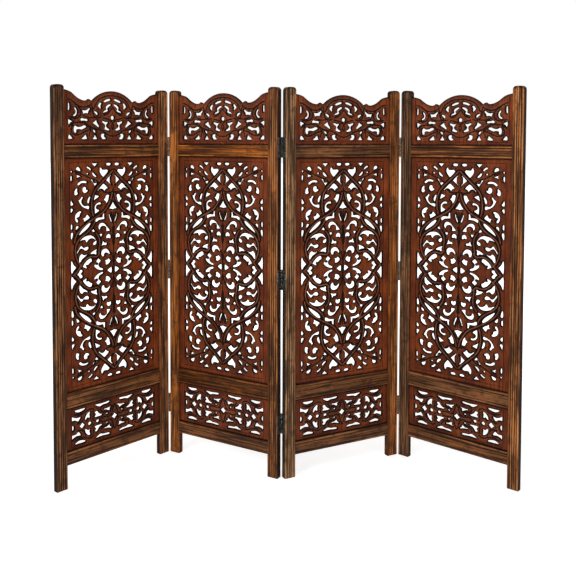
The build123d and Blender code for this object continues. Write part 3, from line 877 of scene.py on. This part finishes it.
def stile_mesh(name, side, pin_side):
    """A reeded upright with a groove for the boards on its inner edge.

    The pin side is 1 with hinge pins before its front, -1 behind its back, 0 without any.
    """
    width = stile_width
    places = section_places(width, STILE_GROOVES)
    grooves = groove_profile(places, STILE_GROOVES)
    reach = 1 + abs(pin_side) * HINGED_REACH / width
    edge_shares = rounded_ends(places, width) / ARRIS
    slot_low, slot_high = lows["bottom_rail"][2], shoulder_level
    # rows from the foot up: level, from the top if negative, reeding, inset, depth of the slot
    rows = [(0.0, 1.0, 0.9, 0.0), (0.9, 1.0, 0.0, 0.0), (slot_low, 1.0, 0.0, 0.0)]
    rows += [(level, 1.0, 0.0, tongue) for level in np.linspace(slot_low, slot_high, 12)]
    rows += [(slot_high, 1.0, 0.0, 0.0), (-12.0, 1.0, 0.0, 0.0), (-6.0, 0.6, 0.0, 0.0)]
    rows += [(-1.6, 0.1, 0.25, 0.0), (-0.5, 0.0, 0.9, 0.0), (-1e-6, 0.0, 2.2, 0.0)]
    bm, point = worked_mesh()

    def point_at(place, y, level, dark, wear_and_highlight):
        x = width - place * reach if side == "left" else leaf_width - width + place * reach
        return point((x, y, level), dark, wear_and_highlight)

    sections = []
    for level, reeding, inset, slot in rows:
        levels = [stile_top(place) + level if level < 0 else level for place in places]
        end_dark = TOP_DARK if level < 0 and reeding < 0.7 else 0.0
        section = []
        for direction, base in ((1, 0.0), (-1, leaf_depth)):
            far_radius = HINGED_ARRIS if direction == pin_side else ARRIS
            round_off = rounded_ends(places, width, far_radius)
            row = []
            for i, place in enumerate(places):
                sunk = GROOVE_DEPTH * grooves[i] * reeding + round_off[i] + inset
                # painted shade on the rounded edges and in the grooves, and wear with painted
                # highlight on the crowns
                edge_dark = INNER_EDGE_DARK if place <= width / 2 else OUTER_EDGE_DARK
                edge_dark *= edge_shares[i]
                groove_dark = min(STILE_GROOVE_DARK, 1.5 * grooves[i]) * reeding
                dark = max(groove_dark, edge_dark, end_dark)
                inner_share = min(1.0, max(0.0, (place - 6) / 8))
                wear_and_highlight = (1 - grooves[i]) ** 3 * (1 - edge_dark) * inner_share
                row.append(point_at(place, base + direction * sunk, levels[i], dark, wear_and_highlight))
            section.append(row)
        lips = [(0, board_front), (slot, board_front), (slot, board_back), (0, board_back)]
        section.append([point_at(place, y, levels[0], SLOT_DARK, 0.0) for place, y in lips])
        sections.append(section)
    skin(bm, [front + back[::-1] + lips[::-1] for front, back, lips in sections], capped=False)
    for front, back, lips in (sections[0], sections[-1]):
        bm.faces.new((front[0], front[1], back[1], back[0], lips[3], lips[0]))
        for i in range(1, len(front) - 1):
            bm.faces.new((front[i], front[i + 1], back[i + 1], back[i]))
    return finish_mesh(name, bm)


def rail_mesh(name, slotted_below):
    """A cross rail with a bead along each edge, fine reeds between, and stub tenons."""
    low, high = lows[name], highs[name]
    height = high[2] - low[2]
    flat = height - 2 * RAIL_BEAD
    bead_grooves = [RAIL_BEAD, height - RAIL_BEAD]
    reeds = round(flat / REED_WIDTH)
    reed_grooves = [RAIL_BEAD + flat * number / reeds for number in range(1, reeds)]
    places = section_places(height, bead_grooves + reed_grooves)
    grooves = groove_profile(places, bead_grooves)
    # painted shade in the reeds and bead grooves and on the rounded edges
    reed_dark = groove_profile(places, reed_grooves) * REED_DARK
    round_off = rounded_ends(places, height)
    edge_dark = round_off / ARRIS * RAIL_EDGE_DARK
    between = (places > RAIL_BEAD) & (places < height - RAIL_BEAD)
    sunk = GROOVE_DEPTH * 0.9 * np.maximum(grooves, reed_dark) + round_off
    sunk = np.maximum(sunk, np.where(between, RAIL_SINK, 0))
    groove_dark = np.minimum(grooves * 1.5, RAIL_GROOVE_DARK)
    dark = np.maximum.reduce([groove_dark, reed_dark, edge_dark])
    # wear with painted highlight on the beads' crowns
    wear_and_highlight = np.where(between, 0.4, 1.0) * (1 - grooves) ** 3 * (1 - edge_dark)
    front = np.column_stack([low[1] + sunk, low[2] + places, dark, wear_and_highlight])
    back = np.column_stack([high[1] - sunk, low[2] + places, dark, wear_and_highlight])

    def slot(level, bottom, first, last):
        spots = [(first, level), (first, bottom), (last, bottom), (last, level)]
        return [(*spot, SLOT_DARK, 0.0) for spot in spots]

    tenon_low, tenon_high = low[2], high[2] - tongue
    loop = [*front, *slot(high[2], tenon_high, board_front, board_back), *back[::-1]]
    if slotted_below:
        tenon_low = low[2] + tongue
        loop += slot(low[2], tenon_low, board_back, board_front)
    bm, point = worked_mesh()
    ends = np.array([0, 1.5, 6.0])
    inner_low, inner_high = stile_width, leaf_width - stile_width
    stations = [*(inner_low + ends), *np.linspace(inner_low + 40, inner_high - 40, 9)]
    stations += [*(inner_high - ends[::-1])]
    rings = []
    for station in stations:
        end_dark = JOINT_DARK if min(station - inner_low, inner_high - station) < 1 else 0
        rings.append([point((station, y, z), max(d, end_dark), w) for y, z, d, w in loop])
    skin(bm, rings)
    size = (tongue + 2, board_back - board_front - 0.2, tenon_high - tenon_low - 0.2)
    for edge, side in ((inner_low, -1), (inner_high, 1)):
        centre = (edge + side * tongue / 2 - side, (board_front + board_back) / 2,
                  (tenon_low + tenon_high) / 2)
        place = Matrix.Translation(centre) @ Matrix.Diagonal((*size, 1))
        bmesh.ops.create_cube(bm, size=1, matrix=place)
    return finish_mesh(name, bm)


# ---------------------------------------------------------------- hinges

HINGE_LENGTH = 76.0
KNUCKLES = 3
KNUCKLE_GAP = 0.5
BARREL_RADIUS = 4.4
BARREL_EASE = 0.45
PIN_RADIUS = 2.15
PLATE_THICKNESS = 2.0
PLATE_ROOM = 0.05  # between a plate's face and the CAD one's
PLATE_MARGIN = 2.0
PLATE_CORNER = 3.5
PLATE_EASE = 0.3
SCREW_PLACES = [(-0.68, 0.64), (0.0, 0.36), (0.68, 0.64)]  # up in half lengths, out in widths
SCREW_RADIUS = 3.3
SCREW_SLOT = 0.55  # half its width, and its depth
TURN_STEPS = 28


def hinge_levels(fold):
    """Centres of a fold's three hinges above the floor."""
    low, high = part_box(fold + "_hinge_pins")
    half = HINGE_LENGTH / 2
    return [low.z / MM + half, joints[fold].z / MM, high.z / MM - half]


def add_lathe(bm, profile, place):
    """A turned shape: profile of (radius, height), closed at both ends."""
    turns = [2 * math.pi * i / TURN_STEPS for i in range(TURN_STEPS)]
    rings = []
    for radius, height in profile:
        spots = [Vector((radius * math.cos(t), radius * math.sin(t), height)) for t in turns]
        rings.append([bm.verts.new(place @ spot) for spot in spots])
    skin(bm, rings)


def add_prism(bm, outline, thickness, place, ease=0.0):
    """A flat plate of a given outline, with its upper edge eased."""
    outline = np.array(outline)
    centre = outline.mean(axis=0)
    reach = np.maximum(np.linalg.norm(outline - centre, axis=1), 1e-6)[:, None]
    rings = []
    for height, inset in ((0, 0), (thickness - ease, 0), (thickness, ease)):
        ring = centre + (outline - centre) * (1 - inset / reach)
        rings.append([bm.verts.new(place @ Vector((x, y, height))) for x, y in ring])
    skin(bm, rings)


def hinge_leaf(low, high):
    """Outline of a plate between two corners, rounded on the side away from the pin."""
    corners = []
    centre_x = high[0] - PLATE_CORNER
    for centre_y, first in ((low[1] + PLATE_CORNER, -90), (high[1] - PLATE_CORNER, 0)):
        for angle in np.radians(first + np.linspace(0, 90, 5)):
            corners.append((centre_x + PLATE_CORNER * math.cos(angle),
                            centre_y + PLATE_CORNER * math.sin(angle)))
    return [*corners, (low[0], high[1]), low]


def add_screw(bm, place, slot_turn):
    """A countersunk screw's head, with a slot between its two halves."""
    rim = SCREW_RADIUS * 1.08
    add_lathe(bm, [(rim, -0.3), (rim, 0.08), (SCREW_RADIUS, 0.1)], place)
    limit = math.asin(SCREW_SLOT / SCREW_RADIUS)
    for side in (0, math.pi):
        half = []
        for step in range(13):
            angle = limit + (math.pi - 2 * limit) * step / 12 + side + slot_turn
            half.append((SCREW_RADIUS * math.cos(angle), SCREW_RADIUS * math.sin(angle)))
        add_prism(bm, half, SCREW_SLOT, place, 0.18)


def plates_mesh(name, levels, side, pin_behind):
    """The plates one leaf carries in a fold, with their knuckles and screws, in leaf places."""
    towards_leaf = -1 if side == "left" else 1
    edge = leaf_width if side == "left" else 0.0
    pin_x = edge - towards_leaf * half_gap
    pin_y = leaf_depth + pin_stand_off if pin_behind else -pin_stand_off
    into = -1 if pin_behind else 1
    # plate places: X away from the pin along the stile's edge, Y up, Z out of the stile
    turn = Matrix(((0, 0, -towards_leaf, 0), (into, 0, 0, 0), (0, 1, 0, 0), (0, 0, 0, 1)))
    half = HINGE_LENGTH / 2
    start = math.sqrt((BARREL_RADIUS + 0.5) ** 2 - (half_gap - PLATE_THICKNESS) ** 2)
    end = pin_stand_off + leaf_depth - PLATE_MARGIN
    thickness = PLATE_THICKNESS - PLATE_ROOM
    length = (HINGE_LENGTH - (KNUCKLES - 1) * KNUCKLE_GAP) / KNUCKLES
    ease = [(BARREL_EASE, 0.0), (BARREL_EASE * 0.3, BARREL_EASE * 0.3), (0.0, BARREL_EASE)]
    rim = [(PIN_RADIUS + 0.1, 0.0)] + [(BARREL_RADIUS - inset, height) for inset, height in ease]
    barrel = rim + [(radius, length - height) for radius, height in rim[::-1]]
    tab_low, tab_high = PIN_RADIUS + 0.75, start + 0.4
    bm = bmesh.new()
    for number, level in enumerate(levels):
        plate = Matrix.Translation((edge, pin_y, level)) @ turn
        add_prism(bm, hinge_leaf((start, -half), (end, half)), thickness, plate, PLATE_EASE)
        for index, (height, reach) in enumerate(SCREW_PLACES):
            spot = (start + (end - start) * reach, half * height, PLATE_THICKNESS - 0.35)
            add_screw(bm, plate @ Matrix.Translation(spot), 0.7 * index + 1.3 * number)
        for knuckle in range(0 if side == "left" else 1, KNUCKLES, 2):
            foot = -half + knuckle * (length + KNUCKLE_GAP)
            add_lathe(bm, barrel, Matrix.Translation((pin_x, pin_y, level + foot)))
            tab = [(tab_low, foot), (tab_high, foot)]
            tab += [(tab_high, foot + length), (tab_low, foot + length)]
            add_prism(bm, tab, thickness, plate)
    return finish_mesh(name, bm)


def pins_mesh(name, levels, pin):
    """A fold's three pins, each with a small domed head at both ends, in the row's places."""
    half = HINGE_LENGTH / 2
    head = [(PIN_RADIUS + 0.9, 0.0), (PIN_RADIUS + 1.3, 0.5), (PIN_RADIUS + 0.8, 1.5)]
    head += [(PIN_RADIUS - 0.4, 2.2), (0.4, 2.5)]
    profile = [(radius, -half - height) for radius, height in head[::-1]]
    profile += [(PIN_RADIUS, -half + 0.02), (PIN_RADIUS, half - 0.02)]
    profile += [(radius, half + height) for radius, height in head]
    bm = bmesh.new()
    for level in levels:
        add_lathe(bm, profile, Matrix.Translation((pin.x / MM, pin.y / MM, level)))
    return finish_mesh(name, bm)


# ---------------------------------------------------------------- materials


def tone(red, green, blue):
    """A colour written as 0 to 255 turned into light values."""
    values = []
    for channel in (red, green, blue):
        share = channel / 255
        values.append(share / 12.92 if share <= 0.04045 else ((share + 0.055) / 1.055) ** 2.4)
    return (*values, 1.0)


class Nodes:
    """The node tree of a material or world, and short ways to add to it."""

    def __init__(self, owner):
        owner.use_nodes = True
        self.tree = owner.node_tree

    def fill(self, node, inputs):
        """Sets a node's inputs, given by name or number, to values or to other nodes' outputs."""
        for key, value in inputs.items():
            if isinstance(value, bpy.types.NodeSocket):
                self.tree.links.new(value, node.inputs[key])
            else:
                node.inputs[key].default_value = value

    def add(self, kind, inputs, output=0, **settings):
        """One node, and the output of it that is wanted."""
        node = self.tree.nodes.new("ShaderNode" + kind)
        for key, value in settings.items():
            setattr(node, key, value)
        self.fill(node, inputs)
        return node.outputs[output]

    def math(self, operation, first, second):
        return self.add("Math", {0: first, 1: second}, operation=operation)

    def ray(self, kind):
        """1 for rays of one kind, 0 for the others."""
        return self.add("LightPath", {}, f"Is {kind} Ray")


class Finish(Nodes):
    """A material of the screen."""

    def __init__(self, name, specular, metallic=0.0):
        self.material = bpy.data.materials.new(name)
        super().__init__(self.material)
        self.shader = self.tree.nodes["Principled BSDF"]
        self.fill(self.shader, {"Specular IOR Level": specular, "Metallic": metallic})

    def attribute(self, name):
        return self.add("Attribute", {}, "Fac", attribute_name=name)

    def own_look(self, channel):
        """One of the three values that each piece has for its own look."""
        return self.add("SeparateColor", {0: self.add("ObjectInfo", {}, "Color")}, channel)

    def spread(self, value, low, high, to_low=0.0, to_high=1.0):
        """Stretches a range of values to another, evenly sloped at its ends."""
        inputs = {"Value": value, "From Min": low, "From Max": high}
        inputs.update({"To Min": to_low, "To Max": to_high})
        return self.add("MapRange", inputs, interpolation_type="SMOOTHSTEP")

    def blend(self, share, first, second, kind="MIX"):
        """A mix of two colours."""
        inputs = {0: share, 6: first, 7: second}
        return self.add("Mix", inputs, 2, data_type="RGBA", blend_type=kind)

    def noise(self, scale, detail=4.0, roughness=0.55, distortion=0.0):
        """A pattern stretched by a scale, and shifted from one piece to the next."""
        own = self.add("TexCoord", {}, "Object")
        chance = self.add("ObjectInfo", {}, "Random")
        shift = self.add("CombineXYZ", {0: self.math("MULTIPLY", chance, 7.3), 2: chance})
        moved = self.add("VectorMath", {0: own, 1: shift}, operation="ADD")
        places = self.add("VectorMath", {0: moved, 1: scale}, operation="MULTIPLY")
        inputs = {"Vector": places, "Scale": 1.0, "Detail": detail}
        inputs.update({"Roughness": roughness, "Distortion": distortion})
        return self.add("TexNoise", inputs, "Fac")

    def surface(self, colour, roughness, bump_height, bump_strength, bump_distance):
        bump = {"Height": bump_height, "Strength": bump_strength, "Distance": bump_distance}
        look = {"Base Color": colour, "Roughness": roughness, "Normal": self.add("Bump", bump)}
        self.fill(self.shader, look)
        return self.material


def stretched(along, length_scale, width_scale):
    """A scale that draws a texture out along one axis of the leaf."""
    scale = [width_scale] * 3
    scale["XYZ".index(along)] = length_scale
    return tuple(scale)


def carved_wood():
    """Oiled red-brown wood: painted shade, partly stain, near black in the cuts, and ridges greyed
    by polish and a painted highlight.
    """
    finish = Finish("carved_wood", 0.12)
    grain = finish.noise(stretched("Z", 14.0, 330.0), 5.0)
    cloud = finish.noise((9.0, 9.0, 9.0), 3.0)
    body = finish.blend(finish.spread(cloud, 0.35, 0.68), tone(98, 42, 18), tone(144, 68, 30))
    body = finish.blend(finish.spread(grain, 0.42, 0.68), body, tone(78, 34, 15))
    rub_and_highlight_breakup = finish.spread(finish.noise((60.0, 60.0, 60.0)), 0.4, 0.62, 0.15, 0.8)
    rub_and_highlight_share = finish.math("MULTIPLY", finish.attribute("wear_and_highlight"), rub_and_highlight_breakup)
    # wear with a painted grey highlight on the ridges and stems
    body = finish.blend(rub_and_highlight_share, body, tone(146, 108, 84))
    dark = finish.attribute("dark")
    broken = finish.noise((140.0, 140.0, 140.0), 3.0)
    # painted shade, partly stain, near black in the cuts and along the rims
    shade_and_stain = finish.math("ADD", dark, finish.spread(broken, 0.3, 0.7, -0.1, 0.1))
    body = finish.blend(finish.spread(shade_and_stain, 0.1, 0.72), body, tone(18, 9, 5))
    value = finish.spread(finish.own_look(0), 0.0, 1.0, 0.7, 1.3)
    body = finish.add("HueSaturation", {"Value": value, "Color": body})
    mixed = finish.math("ADD", dark, finish.math("MULTIPLY", grain, 0.6))
    roughness = finish.spread(mixed, 0.1, 1.2, 0.46, 0.95)
    height = finish.math("ADD", grain, finish.math("MULTIPLY", broken, 0.7))
    return finish.surface(body, roughness, height, 0.35, 0.0006)


def frame_wood(name, along):
    """Golden to dark brown streaks along the grain, with painted shade, partly stain, black in the
    reeds and on the arrises, and wear with painted golden highlights on the crowns.
    """
    finish = Finish(name, 0.14)
    fine = finish.noise(stretched(along, 40.0, 620.0), 4.0, 0.6)
    threads = finish.noise(stretched(along, 6.0, 190.0), 3.0)
    streaks = finish.noise(stretched(along, 3.0, 85.0), 4.0, 0.6, 0.2)
    bands = finish.noise(stretched(along, 5.0, 20.0), 3.0)
    blotches = finish.noise((26.0, 26.0, 26.0), 4.0, 0.6)
    dark = finish.attribute("dark")
    rub_and_highlight_share = finish.spread(threads, 0.52, 0.42, 0.05, 0.7)
    rub_and_highlight_share = finish.math("MULTIPLY", finish.attribute("wear_and_highlight"), rub_and_highlight_share)
    body = finish.blend(finish.spread(streaks, 0.36, 0.62), tone(66, 33, 16), tone(138, 80, 42))
    for share, colour in (
        (finish.spread(bands, 0.5, 0.66, 0.0, 0.7), tone(174, 102, 56)),
        (finish.spread(bands, 0.47, 0.32, 0.0, 0.8), tone(66, 34, 18)),
        (finish.spread(threads, 0.52, 0.62, 0.0, 0.9), tone(42, 22, 12)),
        (finish.spread(fine, 0.54, 0.66, 0.0, 0.7), tone(44, 24, 14)),
        # wear with painted golden highlights on the crowns
        (rub_and_highlight_share, tone(194, 130, 82)),
        (finish.spread(blotches, 0.5, 0.66, 0.0, 0.55), tone(56, 30, 17)),
    ):
        body = finish.blend(share, body, colour)
    own_light, own_grey, own_reed_shade = (finish.own_look(channel) for channel in range(3))
    broken = finish.noise(stretched(along, 7.0, 90.0), 3.0)
    # painted shade, partly stain, in the reeds and slots and on the arrises
    shade_and_stain = finish.math("MULTIPLY", dark, finish.spread(broken, 0.35, 0.6, 0.5, 1.0))
    reed_shade = finish.math("MAXIMUM", own_reed_shade, finish.spread(dark, 0.84, 0.92))
    shade_and_stain = finish.math("MULTIPLY", shade_and_stain, finish.spread(reed_shade, 0.0, 1.0, 0.3, 1.0))
    body = finish.blend(finish.spread(shade_and_stain, 0.08, 0.85), body, tone(28, 15, 10))
    body = finish.blend(finish.math("MULTIPLY", own_grey, 0.8), body, tone(122, 92, 62), "COLOR")
    tinted = {"Saturation": finish.spread(own_grey, 0.0, 0.5, 1.09, 0.98), "Color": body}
    tinted["Value"] = finish.spread(own_light, 0.0, 1.0, 0.62, 1.45)
    body = finish.add("HueSaturation", tinted)
    roughness = finish.spread(finish.math("ADD", shade_and_stain, fine), 0.3, 1.4, 0.45, 0.85)
    height = finish.math("ADD", fine, finish.math("MULTIPLY", streaks, 0.8))
    return finish.surface(body, roughness, height, 0.4, 0.0007)


def hinge_iron():
    """Blackened iron, or a lighter brown iron, flecked with painted pale glints and with brown
    patches.
    """
    finish = Finish("hinge_iron", 0.45, 0.6)
    spots = finish.noise((260.0, 260.0, 260.0))
    patches = finish.noise((70.0, 70.0, 40.0), 3.0)
    # the pale flecks on both irons are painted glints
    black = finish.blend(finish.spread(spots, 0.5, 0.64), tone(15, 15, 14), tone(148, 152, 146))
    brown = finish.blend(finish.spread(spots, 0.38, 0.62), tone(58, 44, 34), tone(136, 116, 100))
    colour = finish.blend(finish.own_look(0), black, brown)
    colour = finish.blend(finish.spread(patches, 0.56, 0.7, 0.0, 0.7), colour, tone(70, 50, 36))
    roughness = finish.spread(patches, 0.3, 0.7, 0.34, 0.62)
    return finish.surface(colour, roughness, spots, 0.3, 0.0004)


# ---------------------------------------------------------------- the screen

# How light, how grey and how deeply reeded each leaf's stiles and rails look, from 0 to 1; the
# third sets how strong the painted shade, partly stain, is in their reeds and on their arrises.
FRAME_TONES = {
    "left_stile": [(0.45, 0.35, 0.9), (0.92, 0.12, 0.2), (0.70, 0.85, 0.8), (0.20, 0.60, 0.6)],
    "right_stile": [(0.70, 0.30, 0.6), (0.55, 0.20, 0.8), (0.86, 0.15, 0.4), (0.98, 0.25, 1.0)],
    "upper_rail": [(0.44, 0.20, 0.8), (0.64, 0.05, 0.7), (0.25, 0.30, 0.6), (0.48, 0.15, 0.8)],
    "middle_rail": [(0.35, 0.25, 0.7), (0.08, 0.00, 0.7), (0.14, 0.25, 0.7), (0.30, 0.30, 0.7)],
    "bottom_rail": [(0.30, 0.25, 0.6), (0.30, 0.25, 0.6), (0.25, 0.30, 0.6), (0.30, 0.25, 0.6)],
}
BOARD_LIGHTS = {
    "main_panel": [0.56, 0.42, 0.60, 0.44],
    "lower_panel": [0.42, 0.50, 0.40, 0.42],
    "crest_panel": [0.50, 0.50, 0.62, 0.50],
}
CREST_STRETCH = [1.015, 1.004, 0.97, 0.962]  # against the crest in CAD, above its rail
IRON_BROWN = [1.0, 0.0, 0.9]  # how brown each fold's hinges look
# Where the pins stand beside the first leaf, at each fold and beside the last leaf: 1 before the
# fronts, -1 behind the backs, 0 without any.
PIN_SIDES = [0, 1, -1, 1, 0]


def place_piece(node, mesh, material, slot, body, look, place=None):
    """A piece that stands for a CAD node and rides on its body."""
    mesh.materials.clear()
    mesh.materials.append(material)
    piece = bpy.data.objects.new(node + "_visual", mesh)
    bpy.context.scene.collection.objects.link(piece)
    piece.matrix_world = place or Matrix.Identity(4)
    piece.color = (*look, 1)
    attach(piece, body)
    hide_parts(node)


carved = carved_wood()
upright = frame_wood("frame_wood_upright", "Z")
level_wood = frame_wood("frame_wood_level", "X")
iron = hinge_iron()

for number, leaf in enumerate(LEAVES):
    for side, pin_side in (("left", PIN_SIDES[number]), ("right", PIN_SIDES[number + 1])):
        node = f"{leaf}_{side}_stile"
        mesh = stile_mesh(node, side, pin_side)
        mesh.transform(leaf_frames[leaf])
        look = FRAME_TONES[side + "_stile"][number]
        place_piece(node, mesh, upright, "frame_wood", leaf, look)

main_drawing = (MAIN_OPENINGS, MAIN_HALF_OPENINGS, MAIN_STEMS, MAIN_VEINS)
lower_drawing = (LOWER_OPENINGS, LOWER_HALF_OPENINGS, [], LOWER_VEINS)
shared_meshes = {
    "main_panel": quarter_board(
        "main_panel", "middle_rail", "upper_rail", MAIN_MIDDLE, MAIN_SIZE, main_drawing
    ),
    "lower_panel": quarter_board(
        "lower_panel", "bottom_rail", "middle_rail", LOWER_MIDDLE, LOWER_SIZE, lower_drawing
    ),
    "crest_panel": crest_board("crest_panel"),
}
shared_meshes.update({rail: rail_mesh(rail, rail != "bottom_rail") for rail in RAILS})
at_rail = Matrix.Translation((0, 0, crest_level * MM))
for kind, shared_mesh in shared_meshes.items():
    for number, leaf in enumerate(LEAVES):
        mesh = shared_mesh
        if kind == "crest_panel":
            mesh = shared_mesh.copy()
            stretch = Matrix.Diagonal((1, 1, CREST_STRETCH[number], 1))
            mesh.transform(at_rail @ stretch @ at_rail.inverted())
        if kind in BOARDS:
            material, slot, look = carved, "carved_wood", (BOARD_LIGHTS[kind][number], 0, 0)
        else:
            material, slot, look = level_wood, "frame_wood", FRAME_TONES[kind][number]
        place_piece(f"{leaf}_{kind}", mesh, material, slot, leaf, look, leaf_frames[leaf])

for number, fold in enumerate(FOLDS):
    levels = hinge_levels(fold)
    look = (IRON_BROWN[number], 0, 0)
    for side, leaf in (("left", LEAVES[number]), ("right", LEAVES[number + 1])):
        node = f"{fold}_{side}_hinge_plates"
        mesh = plates_mesh(node, levels, side, PIN_SIDES[number + 1] < 0)
        mesh.transform(leaf_frames[leaf])
        place_piece(node, mesh, iron, "hinge_iron", leaf, look)
    node = fold + "_hinge_pins"
    mesh = pins_mesh(node, levels, joints[fold])
    place_piece(node, mesh, iron, "hinge_iron", LEAVES[number], look)

# ---------------------------------------------------------------- floor, light and camera

FLOOR_REACH = 40.0  # metres to each side
FLOOR_GLOW = {"From Min": 1.2, "From Max": 4.0, "To Min": 0.55}  # weaker near the screen
AMBIENT = 0.34  # strength of the world's light where the camera doesn't see it
LIGHTS_AIM = Vector((0.0, 0.0, 0.75))


def pale_floor():
    """A white floor that keeps the screen's soft shadow."""
    mesh = bpy.data.meshes.new("floor")
    a = FLOOR_REACH
    mesh.from_pydata([(-a, -a, 0), (a, -a, 0), (a, a, 0), (-a, a, 0)], [], [(0, 1, 2, 3)])
    floor = bpy.data.objects.new("floor", mesh)
    bpy.context.scene.collection.objects.link(floor)
    material = bpy.data.materials.new("floor_white")
    nodes = Nodes(material)
    nodes.tree.nodes.remove(nodes.tree.nodes["Principled BSDF"])
    seen = nodes.math("MAXIMUM", nodes.ray("Camera"), nodes.ray("Glossy"))
    own = nodes.add("TexCoord", {}, "Object")
    away = nodes.add("VectorMath", {0: own}, "Value", operation="LENGTH")
    glow = nodes.add("MapRange", {"Value": away, **FLOOR_GLOW})
    strength = nodes.math("MULTIPLY", seen, glow)
    lift = nodes.add("Emission", {"Color": (1, 1, 1, 1), "Strength": strength})
    diffuse = nodes.add("BsdfDiffuse", {"Color": (0.86, 0.86, 0.86, 1)})
    both = nodes.add("AddShader", {0: diffuse, 1: lift})
    nodes.fill(nodes.tree.nodes["Material Output"], {"Surface": both})
    mesh.materials.append(material)


def white_world():
    """White where it is seen, and an even soft light elsewhere."""
    world = bpy.data.worlds.new("studio")
    bpy.context.scene.world = world
    nodes = Nodes(world)
    seen = nodes.math("MAXIMUM", nodes.ray("Camera"), nodes.ray("Transmission"))
    seen = nodes.math("MAXIMUM", seen, nodes.ray("Glossy"))
    strength = nodes.add("MapRange", {"Value": seen, "To Min": AMBIENT})
    nodes.fill(nodes.tree.nodes["Background"], {"Color": (1, 1, 1, 1), "Strength": strength})


def soft_box(name, place, size, power):
    """A square studio light turned to the screen."""
    light = bpy.data.lights.new(name, "AREA")
    light.shape = "SQUARE"
    light.size = size
    light.energy = power
    lamp = bpy.data.objects.new(name, light)
    lamp.location = place
    lamp.rotation_mode = "QUATERNION"
    lamp.rotation_quaternion = (LIGHTS_AIM - Vector(place)).to_track_quat("-Z", "Y")
    bpy.context.scene.collection.objects.link(lamp)


def photo_camera():
    """The camera that fits the corners seen in the photograph, tipped down a little."""
    image_width = 576.0
    focal_pixels = 769.7
    middle_row = 173.2  # the picture row that the camera's axis meets
    tilt = math.radians(2.5)
    roll = math.radians(0.15)
    camera = bpy.data.cameras.new("camera")
    camera.sensor_width = 36.0
    camera.lens = focal_pixels / image_width * camera.sensor_width
    camera.shift_y = middle_row / image_width - 0.5
    camera.clip_end = 200
    holder = bpy.data.objects.new("camera", camera)
    holder.location = (-0.0037, -3.0276, 1.3220)
    upright = Matrix.Rotation(math.radians(90) - tilt, 4, "X")
    holder.rotation_euler = (upright @ Matrix.Rotation(roll, 4, "Z")).to_euler()
    bpy.context.scene.collection.objects.link(holder)
    bpy.context.scene.camera = holder


pale_floor()
white_world()
soft_box("key", (-2.6, -3.0, 2.5), 1.8, 75)
soft_box("fill", (2.8, -3.2, 1.6), 2.2, 22)
soft_box("overhead", (0.0, -0.6, 3.6), 2.4, 30)
soft_box("behind", (0.4, 3.6, 2.4), 2.4, 50)
photo_camera()

bpy.context.scene.view_settings.view_transform = "Standard"
